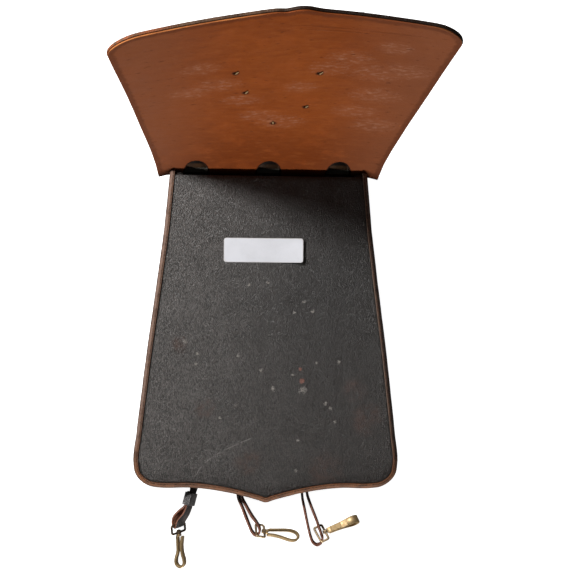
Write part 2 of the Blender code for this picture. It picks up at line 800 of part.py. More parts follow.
def keeper_axes():
    """Along the doubled sling in its keeper, across its width, and through to the folded end."""
    start, end = Vector(KEEPER_RUN[0][:3]), Vector(KEEPER_RUN[-1][:3])
    along = (end - start).normalized()
    wide = leaning(KEEPER_RUN[0][3])
    wide = (wide - along * wide.dot(along)).normalized()
    return along, wide, along.cross(wide)


def left_end_rows():
    """The left sling through its keeper, round its frame's bar and back into the keeper."""
    _, _, through = keeper_axes()
    beside = through * (SLING_THICKNESS + GAP)
    folded_back = [tuple(Vector(row[:3]) + beside) + (row[3],) for row in KEEPER_RUN]
    turn = bar_turn_rows("left")
    return [*KEEPER_RUN, *LEFT_BELOW_KEEPER, *turn, *LEFT_RETURN, *reversed(folded_back)]


def sling_route(side):
    """Places and width directions from the folded end at the ring to the one at the frame."""
    rows = ring_end_rows(dict(NOTCH_CENTRES)[side]) + list(SLING_ROUTES[side])
    if side == "left":
        rows += left_end_rows()
    rows = [(*row, 180.0) if len(row) == 4 else row for row in rows]
    route = []
    for across, from_hinge, lift, lean, heading in smooth_rows(rows, 2):
        height = resting_height(lean) + max(lift, 0.0)
        route.append((Vector((across, from_hinge, height)), leaning(lean, heading)))
    return route


def add_slings(materials, root):
    for side, _ in NOTCH_CENTRES:
        sections = strap_sections(sling_route(side), SLING_WIDTH, SLING_THICKNESS)
        add_piece(f"sling_{side}", sweep(sections), materials["strap"], root, 35.0)


def add_keeper(materials, root):
    """A short leather sleeve round the left sling and its folded end, below the pouch's edge."""
    _, wide, through = keeper_axes()
    across, from_hinge, lift, lean = KEEPER_RUN[1]
    place = Vector((across, from_hinge, lift + resting_height(lean)))
    place += through * (SLING_THICKNESS + GAP) / 2
    half_long = SLING_WIDTH / 2 + KEEPER_MARGIN + KEEPER_WALL / 2
    half_short = SLING_THICKNESS + GAP / 2 + KEEPER_MARGIN + KEEPER_WALL / 2
    half_wall, half_length = KEEPER_WALL / 2, KEEPER_LENGTH / 2
    section = (
        (-half_wall, -half_length),
        (half_wall, -half_length),
        (half_wall, half_length),
        (-half_wall, half_length),
    )
    bm = loop_solid(half_long, half_short, 1.3, section)
    add_piece("keeper_left", bm, materials["black"], root, 35.0, facing(wide, through, place))


def turned(profile, sides):
    """A solid turned about the X axis from rows of place and radius."""
    bm = bmesh.new()
    verts = [bm.verts.new((along, radius, 0.0)) for along, radius in profile]
    edges = [bm.edges.new(pair) for pair in zip(verts, verts[1:])]
    bmesh.ops.spin(
        bm,
        geom=verts + edges,
        cent=(0.0, 0.0, 0.0),
        axis=(1.0, 0.0, 0.0),
        angle=2.0 * math.pi,
        steps=sides,
        use_merge=True,
    )
    bmesh.ops.remove_doubles(bm, verts=bm.verts, dist=0.001)
    return bm


def add_frames(materials, root):
    half_short = FRAME_SHORT / 2
    boss = ((-BOSS_HALF_LENGTH, 0.0), (-BOSS_HALF_LENGTH, BOSS_RADIUS))
    boss += ((BOSS_HALF_LENGTH, BOSS_RADIUS), (BOSS_HALF_LENGTH, 0.0))
    hole = ((-5.0, 0.0), (-5.0, BOSS_HOLE_RADIUS), (5.0, BOSS_HOLE_RADIUS), (5.0, 0.0))
    for side in SLINGS:
        centre, bar, out, axis = frame_axes(side)
        bm = loop_solid(FRAME_HALF_LONG, half_short, 1.6, circle_section(FRAME_WIRE, 8))
        matrix = facing(bar, out, centre - out * half_short)
        frame = add_piece(f"frame_{side}", bm, materials["iron"], root, 50.0, matrix)
        level = Vector((0.0, 0.0, 1.0)).cross(axis).normalized()
        along_axis = facing(axis, level, centre)
        for label, profile, operation in (("boss", boss, "UNION"), ("hole", hole, "DIFFERENCE")):
            bm = turned(profile, 16)
            name = f"frame_{side}_{label}"
            helper = add_piece(name, bm, materials["iron"], root, matrix=along_axis)
            combine(frame, helper, operation)


def hairpin_strip(side):
    """A hook's flat brass strip, bent into an eye, with the swivel's axis along X."""
    route = []
    for along, sideways in smooth_rows(HAIRPINS[side], 2):
        route.append((Vector((along, sideways, 0.0)), Vector((0.0, 0.0, 1.0))))
    return sweep(strap_sections(route, HOOK_STRIP_WIDTH, HOOK_STRIP_THICKNESS))


def add_hooks(materials, root):
    """Each hook's origin is the middle of its swivel, and its own X axis is the swivel's axis."""
    for side in SLINGS:
        centre, _, _, axis = frame_axes(side)
        level = Vector((0.0, 0.0, 1.0)).cross(axis).normalized()
        roll = Matrix.Rotation(math.radians(SLINGS[side][5]), 4, "X")
        matrix = facing(axis, level, centre) @ roll
        hook = add_piece(f"hook_{side}", hairpin_strip(side), materials["brass"], root, 35.0, matrix)
        post = turned(SWIVEL_PROFILE, 16)
        helper = add_piece(f"hook_{side}_swivel", post, materials["brass"], root, matrix=matrix)
        combine(hook, helper, "UNION")


def settle_on_origin(root):
    """Moves everything so that the middle of the object's foot is at the origin."""
    bpy.context.view_layer.update()
    graph = bpy.context.evaluated_depsgraph_get()
    low, high = Vector((9.0, 9.0, 9.0)), Vector((-9.0, -9.0, -9.0))
    for obj in root.children:
        if obj.hide_render:
            continue
        evaluated = obj.evaluated_get(graph)
        for vert in evaluated.data.vertices:
            place = evaluated.matrix_world @ vert.co
            for axis in range(3):
                low[axis] = min(low[axis], place[axis])
                high[axis] = max(high[axis], place[axis])
    middle = (low + high) / 2
    root.location = (-middle.x, -middle.y, -low.z)


def build():
    clear_scene()
    root = bpy.data.objects.new("sabretache", None)
    bpy.context.scene.collection.objects.link(root)
    materials = make_materials()
    add_pouch(materials, root)
    add_label(materials, root)
    add_flap(materials, root)
    add_prongs(materials, root)
    add_rings(materials, root)
    add_ring_tabs(materials, root)
    add_slings(materials, root)
    add_keeper(materials, root)
    add_frames(materials, root)
    add_hooks(materials, root)
    settle_on_origin(root)


build()
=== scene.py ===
"""Old leather sabretache on its back, with its cover flap standing open at the hinge.

Design sizes are in millimetres. X runs across the pouch, Y from its foot to the hinge and Z up
from the floor. Drawing places are measured from the hinge line, where the lining starts.
"""

import math

import bmesh
import bpy
from mathutils import Matrix, Vector, kdtree, noise


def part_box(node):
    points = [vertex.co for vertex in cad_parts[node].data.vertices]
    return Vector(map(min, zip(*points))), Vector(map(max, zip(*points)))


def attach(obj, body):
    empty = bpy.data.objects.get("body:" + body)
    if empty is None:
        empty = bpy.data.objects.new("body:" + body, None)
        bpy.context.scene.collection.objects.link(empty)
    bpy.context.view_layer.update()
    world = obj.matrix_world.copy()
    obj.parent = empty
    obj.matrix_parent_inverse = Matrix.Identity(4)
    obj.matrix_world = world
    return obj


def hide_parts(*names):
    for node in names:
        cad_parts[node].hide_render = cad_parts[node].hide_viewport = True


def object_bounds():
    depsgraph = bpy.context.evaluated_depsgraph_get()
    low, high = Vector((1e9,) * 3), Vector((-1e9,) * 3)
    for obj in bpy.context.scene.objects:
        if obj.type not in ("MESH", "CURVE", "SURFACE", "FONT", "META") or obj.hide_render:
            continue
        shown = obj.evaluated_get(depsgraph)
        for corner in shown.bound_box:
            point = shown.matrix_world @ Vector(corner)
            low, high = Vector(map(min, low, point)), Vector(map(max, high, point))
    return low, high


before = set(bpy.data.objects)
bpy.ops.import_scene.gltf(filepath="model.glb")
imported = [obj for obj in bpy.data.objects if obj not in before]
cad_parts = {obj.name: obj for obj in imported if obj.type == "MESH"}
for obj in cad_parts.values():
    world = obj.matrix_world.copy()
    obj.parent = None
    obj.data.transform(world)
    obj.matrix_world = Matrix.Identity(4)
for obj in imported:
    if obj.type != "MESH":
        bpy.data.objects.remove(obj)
CAD_BOX = [list(corner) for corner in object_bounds()]

MM = 0.001
GAP = 0.3

# Pouch: levels above the floor
PANEL_CLEARANCE = 11.8
BACK_TOP = 14.8
GUSSET_TOP = 26.5
FRONT_BOTTOM = 26.8
FRONT_TOP = 29.0

# Pouch outline, measured down from the hinge line
SIDE_ROWS = (
    # down, half width
    (0.0, 99.0),
    (30.0, 101.8),
    (60.0, 104.6),
    (95.0, 109.0),
    (132.0, 113.8),
    (178.0, 120.0),
    (225.0, 125.6),
    (262.0, 129.8),
    (296.0, 132.5),
)
CORNER_WIDE = 26.0
CORNER_DEEP = 22.2
BOTTOM_DOWN = 318.2
POINT_DEPTH = 14.8
POINT_HALF_WIDTH = 78.0
POINT_POWER = 1.65
BACK_TOP_DOWN = 6.3
FRONT_TOP_DOWN = 5.5
GUSSET_TOP_DOWN = 3.2
WELT_TOP_DOWN = 1.8
BACK_INSET = 0.6
WELT_WIDTH = 5.2
WELT_SECTION = (
    # in from the outline, level above the floor
    (0.1, 23.6),
    (0.0, 24.3),
    (0.2, 25.5),
    (1.0, 26.9),
    (2.0, 28.3),
    (2.9, 29.4),
    (3.4, 29.9),
    (3.7, 29.75),
    (4.0, 29.7),
    (4.3, 30.1),
    (4.7, 30.45),
    (5.1, 30.2),
    (WELT_WIDTH, 29.6),
    (WELT_WIDTH, FRONT_BOTTOM),
    (1.5, FRONT_BOTTOM),
    (1.5, 23.6),
)
GUSSET_SECTION = (
    # in from the outline, level above the floor
    (1.8, 15.1),
    (2.1, 17.4),
    (2.8, 20.0),
    (2.2, 22.8),
    (1.8, 25.2),
    (2.0, 26.3),
    (2.4, GUSSET_TOP),
    (13.0, GUSSET_TOP),
    (13.0, 24.9),
    (4.5, 24.9),
    (4.2, 23.0),
    (4.9, 20.0),
    (4.3, 17.4),
    (4.0, 15.1),
)

# Unevenness: how many of the welt section's points show and lie outside, waves and nicks
WELT_OPEN_POINTS = 13
WELT_OUTER_POINTS = 6
WELT_WAVE_HEIGHT = 0.16
WELT_WAVE_SIZE = 9.0
WELT_WAVE_SHIFT = 0.15
WELT_NICKS = (
    # height, size, seed
    (0.35, 13.0, 20.0),
)
POUCH_MIDDLE = -150.0
PANEL_TAUT_EDGE = 25.0
PANEL_WAVES = (
    # height, size, seed
    (0.45, 55.0, 3.0),
    (0.2, 22.0, 8.0),
)

# Stitches in the welt: pitch, the first one's share of it, place in the section, slant, size
STITCH_PITCH = 3.6
STITCH_START = 0.75
STITCH_PLACE = (3.95, 29.95)
STITCH_SLANT = 0.22
STITCH_HALF_SIZE = (1.35, 0.42, 0.4)

# Cuts that let flat leather bend: from, to and spacing, across and then up
FRONT_CUTS = ((-127.0, 127.0, 4.0), (-328.0, -6.0, 4.0))
BACK_CUTS = ((-132.0, 132.0, 8.0), (-332.0, -7.0, 8.0))
FLAP_CUTS = ((-146.0, 146.0, 4.2), (0.0, 325.0, 4.2))
LABEL_CUT = 2.4

# Spacing of the places that a rim is measured from, and how far round a hole is cut
RIM_STEP = 0.8
HOLE_NEAR = 9.0

# Paper label on the front
LABEL_WIDTH = 79.2
LABEL_HEIGHT = 24.2
LABEL_THICKNESS = 0.35
LABEL_CENTRE = (-5.0, -80.0)
LABEL_CORNER = 2.4

# The label's paste, the share of its half width that stays down, its lift, and the calm round it
LABEL_GLUE = 0.25
LABEL_STUCK = 0.1
LABEL_LIFT = 4.8
LABEL_WAVES = ((0.12, 14.0, 5.0),)
LABEL_CALM = 60.0

# Cover flap: lean from the floor, fold and outline, measured up the lining from the hinge line
FLAP_LEAN = math.radians(71.3)
HINGE_Y = 0.46
HINGE_Z = 19.0
LINING_THICKNESS = 1.2
OUTER_THICKNESS = 3.0
OUTER_FRONT = -LINING_THICKNESS - GAP
FOLD_RADIUS = 3.0
FLAP_HINGE_HALF_WIDTH = 111.7
FLAP_GROWTH = 0.121
FLAP_SIDE_UP = 291.0
FLAP_SIDE_STEP = 15
FLAP_CORNER_WIDE = 27.5
FLAP_CORNER_DEEP = 23.5
FLAP_POINT_DEPTH = 9.8
FLAP_POINT_POWER = 1.75
FLAP_BOW = 18.5
FLAP_TWIST = 8.1
FLAP_WAVES = (
    # height, size, seed
    (0.9, 75.0, 11.0),
    (0.25, 26.0, 14.0),
)
FLAP_WAVES_FROM = 40.0

# The flap's lower corners curl forward: how far, from where across, over what width and height
FLAP_CURL = 3.6
CURL_START = 92.0
CURL_WIDTH = 20.0
CURL_HEIGHT = 60.0

# The lining's lower edge hangs below the hinge line and comes forward, most at its two ears
LINING_INSET = 0.8
LINING_DROP = 3.0
LINING_FORWARD = 3.6
EAR_DROP = 3.8
EAR_INNER = 100.5
EAR_SLANT = 2.0

# The far edge's crest and dent
EDGE_BUMPS_FROM = 282.0
EDGE_BUMPS_OVER = 36.0
EDGE_BUMPS = (
    # height, across, spread
    (2.8, 15.0, 10.0),
    (-2.4, -1.0, 5.0),
)

# Hinge edge, notches and prongs
LIP_HALF_WIDTH = 98.5
FOLD_END_HALF_WIDTH = 107.5
FOLD_CUTS = 6
NOTCH_CENTRES = (("left", -72.8), ("middle", -0.5), ("right", 69.8))
NOTCH_HALF_WIDTH = 11.9
NOTCH_HEIGHT = 24.0
PRONG_HOLE_RADIUS = 1.7
PRONG_WIDTH = 1.5
PRONG_THICKNESS = 0.8
PRONG_REACH = 5.0
PRONG_ROOT = -4.2
PRONGS = (
    # across, up the flap, direction of the bent end from straight up
    (-39.7, 218.5, -28.0),
    (-29.7, 179.3, -22.0),
    (-1.5, 111.8, 4.0),
    (26.5, 146.8, -24.0),
    (34.0, 213.7, -30.0),
)

# Rings behind the hinge and the tabs that hold them
RING_WIRE = 1.5
RING_HALF_LONG = 13.9
RING_CORNER = 3.0
RING_NEAR = (10.0, 13.3)
RING_FAR = (19.0, 4.7)
TAB_WIDTH = 23.2
TAB_THICKNESS = 2.4
TAB_FLARE = 1.8
TAB_FLARE_FROM = 6.0
TAB_FLARE_OVER = 5.0
TAB_BELOW = (-30.0, -16.0, 0.0)
TAB_ABOVE = (
    # from the hinge line, higher than the tab's return
    (4.0, 0.6),
    (-1.0, 1.2),
    (-6.0, 0.5),
    (-14.0, 0.0),
    (-30.0, 0.0),
)

# Slings
SLING_WIDTH = 11.0
SLING_THICKNESS = 2.2
CREASE_INSETS = (1.5, 1.9, 2.3)
FRAME_WIRE = 1.15
FRAME_HALF_LONG = 9.05
FRAME_SHORT = 8.6
FRAME_CORNER = 1.6
HOOK_STRIP_WIDTH = 5.4
HOOK_STRIP_THICKNESS = 2.2
KEEPER_LENGTH = 12.6
KEEPER_WALL = 1.3
KEEPER_MARGIN = 0.4
KEEPER_CORNER = 1.3
SLINGS = {
    # hook bar centre, bar heading, bar rise, hook heading, hook fall, hook roll
    "left": ((-86.8, -365.6, 7.4), 193.0, 43.0, -87.0, 4.5, 28.0),
    "middle": ((-0.3, -364.3, 8.8), 273.5, 58.0, -10.4, 6.85, 152.0),
    "right": ((61.8, -364.8, 7.0), 298.9, 40.0, 21.3, 0.95, 245.0),
}
SLING_ROUTES = {
    # across, from the hinge line, lift off the floor, lean of the strap's width
    "left": (
        (-72.7, -80.0, 0.0, 0.0),
        (-72.2, -150.0, 0.0, 15.0),
        (-71.6, -230.0, 0.0, 32.0),
        (-70.8, -300.0, 0.2, 46.0),
        (-71.4, -317.5, 1.1, 50.0),
    ),
    "middle": (
        (-4.4, -80.0, 0.0, 0.0),
        (-9.5, -150.0, 0.0, 30.0),
        (-15.6, -230.0, 0.0, 60.0),
        (-21.3, -300.0, 0.0, 80.0),
        (-23.3, -330.5, 0.2, 82.0),
        (-18.9, -338.6, 0.8, 84.0),
        (-12.7, -349.1, 2.6, 82.0),
        (-8.0, -355.5, 3.8, 84.0),
        (-5.3, -361.0, 3.2, 84.0),
        (-5.4, -365.8, 1.8, 84.0),
        (-8.6, -368.4, 1.0, 84.0),
        (-12.3, -365.2, 0.5, 84.0),
        (-15.5, -358.4, 0.2, 84.0),
        (-19.7, -348.0, 0.2, 82.0),
        (-22.9, -339.8, 0.2, 84.0),
        (-26.8, -329.9, 0.2, 82.0),
        (-26.8, -318.0, 0.2, 82.0),
        (-24.9, -305.0, 0.2, 82.0),
    ),
    "right": (
        (65.4, -80.0, 0.0, 0.0),
        (58.4, -150.0, 0.0, 30.0),
        (50.2, -230.0, 0.0, 65.0),
        (43.0, -300.0, 0.0, 84.0),
        (43.4, -328.1, 0.0, 84.0),
        (46.2, -336.2, 0.2, 84.0),
        (49.9, -345.6, 1.0, 84.0),
        (53.1, -353.8, 2.4, 84.0),
        (55.0, -359.5, 3.0, 84.0),
        (57.6, -366.5, 1.4, 84.0),
        (59.2, -372.2, 0.2, 84.0),
        (57.6, -376.4, 0.0, 84.0),
        (53.3, -378.3, 0.0, 84.0),
        (49.5, -375.6, 0.0, 84.0),
        (47.1, -370.2, 0.0, 84.0),
        (45.5, -364.3, 0.0, 84.0),
        (43.3, -354.9, 0.0, 84.0),
        (40.9, -343.2, 0.0, 84.0),
        (38.1, -329.2, 0.0, 84.0),
        (38.1, -315.0, 0.0, 84.0),
        (39.9, -302.0, 0.0, 84.0),
    ),
}
KEEPER_RUN = (
    # across, from the hinge line, lift off the floor, lean of the strap's width
    (-73.0, -324.8, 2.9, 59.0),
    (-74.8, -331.9, 3.3, 59.0),
    (-76.6, -339.0, 3.7, 59.0),
)
LEFT_BELOW_KEEPER = (
    # across, from the hinge line, lift off the floor, lean of the strap's width
    (-79.4, -346.4, 4.0, 55.0),
    (-84.0, -353.4, 5.0, 46.0),
)
LEFT_RETURN = (
    # across, from the hinge line, lift off the floor, lean of the strap's width
    (-89.2, -352.6, 3.2, 34.0),
    (-84.6, -345.2, 3.2, 42.0),
)
RING_RUN = (
    # from the hinge line, lift off the floor
    (10.0, 5.1),
    (0.0, 3.1),
    (-10.0, 2.5),
    (-22.0, 0.9),
    (-36.0, 0.0),
)
HAIRPINS = {
    # along the hook from the swivel, sideways
    "left": (
        (2.6, -0.8),
        (5.0, -1.4),
        (7.5, -1.4),
        (15.5, -1.4),
        (18.0, -1.4),
        (22.5, -2.6),
        (28.0, -4.3),
        (32.2, -4.1),
        (35.0, -1.6),
        (35.0, 2.2),
        (32.2, 4.6),
        (28.0, 4.9),
        (22.5, 3.6),
        (18.0, 2.9),
        (13.0, 2.8),
        (8.0, 3.4),
        (5.0, 4.4),
    ),
    "middle": (
        (2.6, -0.8),
        (5.0, -2.175),
        (8.0, -2.7),
        (12.0, -3.4),
        (16.0, -4.1),
        (19.0, -4.625),
        (24.0, -5.2),
        (29.0, -5.1),
        (33.0, -3.9),
        (35.3, -1.2),
        (35.0, 2.0),
        (32.2, 4.2),
        (28.0, 4.8),
        (22.0, 4.0),
        (16.0, 3.1),
        (11.0, 2.6),
        (7.5, 2.6),
        (5.0, 3.0),
    ),
    "right": (
        (2.6, -0.8),
        (5.0, -1.6),
        (7.5, -1.6),
        (15.5, -1.6),
        (18.0, -1.6),
        (22.5, -2.9),
        (28.0, -4.4),
        (32.2, -4.1),
        (35.0, -1.6),
        (35.0, 2.0),
        (32.2, 4.4),
        (28.0, 4.7),
        (22.5, 3.4),
        (18.0, 2.5),
        (13.0, 2.4),
        (8.0, 3.0),
        (5.0, 4.2),
    ),
}
HAIRPIN_TIPS = {"left": (3.9, 4.0), "middle": (3.4, 2.9), "right": (3.6, 3.6)}
HOOK_SPREAD = {"left": 0.05, "middle": 0.0, "right": 0.5}
HOOK_SPREAD_FROM = 5.0
HOOK_SPREAD_OVER = 24.0
HOOK_LIFT = 0.02
SWIVEL_PROFILE = (
    # along the axis, radius
    (-2.5, 0.0),
    (-2.5, 1.7),
    (-2.2, 2.15),
    (-1.8, 2.15),
    (-1.65, 1.15),
    (1.65, 1.15),
    (1.75, 2.3),
    (2.1, 2.6),
    (3.2, 2.6),
    (3.6, 2.1),
    (3.6, 0.0),
)
BOSS_PROFILE = (
    # along the axis, radius
    (-1.3, 1.5),
    (-1.3, 2.25),
    (-0.95, 2.6),
    (0.95, 2.6),
    (1.3, 2.25),
    (1.3, 1.5),
)

# Marks on the leather
PANEL_CELLS = 760.0
PANEL_SPECKS = (
    # across, from the hinge line, reach
    (-18.7, -115.1, 0.8),
    (-0.2, -112.4, 0.9),
    (-82.4, -172.0, 1.0),
    (36.0, -131.1, 0.8),
    (45.1, -140.7, 0.9),
    (26.5, -142.1, 0.7),
    (-70.4, -183.6, 0.8),
    (-71.3, -194.1, 0.8),
    (-29.4, -185.5, 0.9),
    (-6.3, -199.9, 0.9),
    (-47.0, -247.6, 0.8),
    (-31.4, -235.2, 0.8),
    (6.3, -218.8, 1.2),
    (25.7, -204.6, 0.8),
    (36.1, -219.5, 1.9),
    (59.2, -233.1, 0.9),
    (63.7, -238.3, 1.0),
    (68.6, -251.5, 0.9),
    (71.9, -191.7, 1.0),
    (49.5, -192.4, 0.8),
    (31.2, -270.1, 0.8),
    (29.9, -300.0, 0.8),
)
RED_SPOTS = ((33.2, -198.7, 1.4), (35.0, -210.7, 2.2))
BROWN_PLACES = (
    # across, from the hinge line, reach
    (101.0, -249.0, 20.0),
    (88.0, -219.0, 15.0),
    (-19.0, -292.0, 17.0),
    (-62.0, -238.0, 13.0),
    (-87.0, -175.0, 11.0),
    (60.0, -300.0, 22.0),
)
SCRATCH = (
    # across, from the hinge line
    (-13.2, -267.1),
    (-26.5, -272.9),
    (-43.4, -280.7),
    (-54.3, -287.0),
    (-63.8, -295.0),
    (-72.0, -308.0),
)
BLOOM_PLACES = (
    # across, up the lining, reach
    (83.0, 221.0, 17.0),
    (58.0, 244.0, 14.0),
    (108.0, 229.0, 15.0),
    (88.0, 178.0, 16.0),
    (72.0, 142.0, 14.0),
    (94.0, 114.0, 15.0),
    (43.0, 224.0, 13.0),
    (5.0, 116.0, 15.0),
    (-16.0, 130.0, 13.0),
    (-54.0, 197.0, 14.0),
    (-70.0, 232.0, 12.0),
    (-32.0, 165.0, 12.0),
    (-80.0, 185.0, 12.0),
    (19.0, 188.0, 11.0),
    (94.0, 269.0, 11.0),
)
FLAP_CREASES = (
    # ends of each line: across, up the lining
    ((0.6, 300.1), (61.3, 294.7)),
    ((57.3, 294.1), (121.1, 293.9)),
    ((11.8, 293.0), (71.9, 289.5)),
)

# Camera and lights, in metres
LENS = 95.3
CAMERA_ROLL = -0.579
CAMERA_PLACE = (-0.0729, 0.024595, 1.538011)
CAMERA_TARGET = (0.017, 0.032195, 0.029011)
LIGHTS = {
    # place, target from the hinge, size, energy, colour
    "key": ((-0.649, 0.515, 0.849), (0.0, -0.12, 0.02), 0.14, 16.7, (1.0, 0.99, 0.97)),
    "front": ((0.05, -1.6, 0.19), (0.0, 0.05, 0.15), 0.34, 22.5, (1.0, 0.97, 0.93)),
}
STUDIO_GLOW = 0.035
FLOOR_HALF_SIZE = 6.0
FLOOR_BELOW = 0.0002

HINGE_PLACE = Vector(
    (
        0.0,
        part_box("back_panel")[1][1] + BACK_TOP_DOWN * MM,
        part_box("back_panel")[0][2] - PANEL_CLEARANCE * MM,
    )
)


def add_piece(name, bm, material, nodes, body="bag", smooth_angle=35.0):
    """Turns a bmesh in design millimetres into a finished piece that stands for its solids."""
    bmesh.ops.recalc_face_normals(bm, faces=bm.faces)
    bmesh.ops.scale(bm, vec=(MM, MM, MM), verts=bm.verts)
    bmesh.ops.translate(bm, vec=HINGE_PLACE, verts=bm.verts)
    mesh = bpy.data.meshes.new(name)
    bm.to_mesh(mesh)
    bm.free()
    mesh.materials.append(material)
    mesh.shade_smooth()
    mesh.set_sharp_from_angle(angle=math.radians(smooth_angle))
    piece = bpy.data.objects.new(name, mesh)
    bpy.context.scene.collection.objects.link(piece)
    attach(piece, body)
    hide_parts(*nodes)
    return piece


# ---- outlines and routes, in design millimetres


def smooth_rows(rows, steps):
    """Rows of numbers with further rows between them, on a curve through all of them."""
    rows = [Vector(row) for row in rows]
    pairs = list(zip(rows, rows[1:]))
    lengths = [Vector(tuple(end - start)[:3]).length for start, end in pairs]
    slopes = [(end - start) / length for (start, end), length in zip(pairs, lengths)]
    turns = [slopes[0]]
    for index in range(1, len(slopes)):
        near, far = lengths[index - 1], lengths[index]
        turns.append((slopes[index - 1] * far + slopes[index] * near) / (near + far))
    turns.append(slopes[-1])
    result = []
    for index, (start, end) in enumerate(pairs):
        leave, arrive = turns[index] * lengths[index], turns[index + 1] * lengths[index]
        for step in range(steps):
            t = step / steps
            rise = t * t * (3.0 - 2.0 * t)
            place = start * (1.0 - rise) + end * rise
            result.append(place + leave * t * (1.0 - t) ** 2 - arrive * t * t * (1.0 - t))
    return result + [rows[-1]]


def point_down(x, half_width, depth, power):
    """How far a soft point stands out from its straight shoulders."""
    ratio = min(abs(x) / half_width, 1.0)
    return depth * (1.0 - ratio) ** power


def half_width_at(down):
    """The pouch's half width at a distance down from the hinge line."""
    for (near, wide), (far, wider) in zip(SIDE_ROWS, SIDE_ROWS[1:]):
        if down <= far:
            return wide + (wider - wide) * (down - near) / (far - near)
    return SIDE_ROWS[-1][1]


def pouch_outline(top_down):
    """Points from the top right corner round the foot to the top left one."""
    right = [(half_width_at(top_down), -top_down)]
    right += [(wide, -down) for down, wide in SIDE_ROWS if down > top_down + 5.0]
    side_end, widest = SIDE_ROWS[-1]
    for step in range(1, 6):
        angle = math.radians(18.0 * step)
        across = widest - CORNER_WIDE + CORNER_WIDE * math.cos(angle)
        right.append((across, -side_end - CORNER_DEEP * math.sin(angle)))
    for ratio in (1.0, 0.84, 0.68, 0.52, 0.36, 0.22, 0.1):
        x = POINT_HALF_WIDTH * ratio
        drop = point_down(x, POINT_HALF_WIDTH, POINT_DEPTH, POINT_POWER)
        right.append((x, -BOTTOM_DOWN - drop))
    tip = (0.0, -BOTTOM_DOWN - POINT_DEPTH)
    return right + [tip] + [(-x, y) for x, y in reversed(right)]


def pouch_line(top_down, steps=6):
    """The pouch's outline as a smooth line."""
    return [Vector(place[:2]) for place in smooth_rows(pouch_outline(top_down), steps)]


def inward_directions(outline):
    """The direction inward at each point of an open outline, lengthened at its corners."""
    result = []
    for index in range(len(outline)):
        here = Vector(outline[index])
        before = Vector(outline[index - 1]) if index else None
        after = Vector(outline[index + 1]) if index + 1 < len(outline) else None
        if before is None or after is None:
            side = -1.0 if before is None else 1.0
            result.append(Vector((side, 0.0)))
            continue
        first = (here - before).normalized()
        second = (after - here).normalized()
        first_in = Vector((first.y, -first.x))
        second_in = Vector((second.y, -second.x))
        middle = (first_in + second_in).normalized()
        result.append(middle / middle.dot(first_in))
    return result


def inset_outline(outline, inset):
    return [
        Vector(point) + direction * inset
        for point, direction in zip(outline, inward_directions(outline))
    ]


def flap_outline(inset):
    """The flap laid flat, from its right foot round the far edge to its left foot."""
    right = []
    for up in range(0, int(FLAP_SIDE_UP), FLAP_SIDE_STEP):
        right.append((FLAP_HINGE_HALF_WIDTH + FLAP_GROWTH * up - inset, float(up)))
    right.append((FLAP_HINGE_HALF_WIDTH + FLAP_GROWTH * FLAP_SIDE_UP - inset, FLAP_SIDE_UP))
    shoulder = right[-1][0] - FLAP_CORNER_WIDE
    for step in range(1, 16):
        angle = math.radians(6.0 * step)
        across = shoulder + FLAP_CORNER_WIDE * math.cos(angle)
        right.append((across, FLAP_SIDE_UP + (FLAP_CORNER_DEEP - inset) * math.sin(angle)))
    far_up = FLAP_SIDE_UP + FLAP_CORNER_DEEP - inset
    for step in range(1, 25):
        x = shoulder * (1.0 - step / 25.0)
        rise = point_down(x, shoulder, FLAP_POINT_DEPTH, FLAP_POINT_POWER)
        right.append((x, far_up + rise))
    tip = (0.0, far_up + FLAP_POINT_DEPTH)
    return right + [tip] + [(-x, up) for x, up in reversed(right)]


def notch_edge(centre, bottom_up):
    """One arched notch in the hinge edge, from its left foot to its right one."""
    points = [(centre - NOTCH_HALF_WIDTH, bottom_up)] if bottom_up < 0.0 else []
    for step in range(17):
        angle = math.pi * (1.0 - step / 16.0)
        across = centre + NOTCH_HALF_WIDTH * math.cos(angle)
        points.append((across, NOTCH_HEIGHT * math.sin(angle)))
    if bottom_up < 0.0:
        points.append((centre + NOTCH_HALF_WIDTH, bottom_up))
    return points


def fold_lengths():
    """How far below the hinge line the fold ends, the fold starts and the lip's edge is."""
    front_z = HINGE_Z + OUTER_FRONT * math.cos(FLAP_LEAN)
    fold_end_z = BACK_TOP + FOLD_RADIUS * (1.0 - math.cos(FLAP_LEAN))
    to_end = (front_z - fold_end_z) / math.sin(FLAP_LEAN)
    to_start = to_end + FOLD_RADIUS * FLAP_LEAN
    front_y = HINGE_Y - OUTER_FRONT * math.sin(FLAP_LEAN)
    start_y = front_y - to_end * math.cos(FLAP_LEAN) - FOLD_RADIUS * math.sin(FLAP_LEAN)
    to_lip = to_start + start_y + BACK_TOP_DOWN - GAP
    return to_end, to_start, to_lip


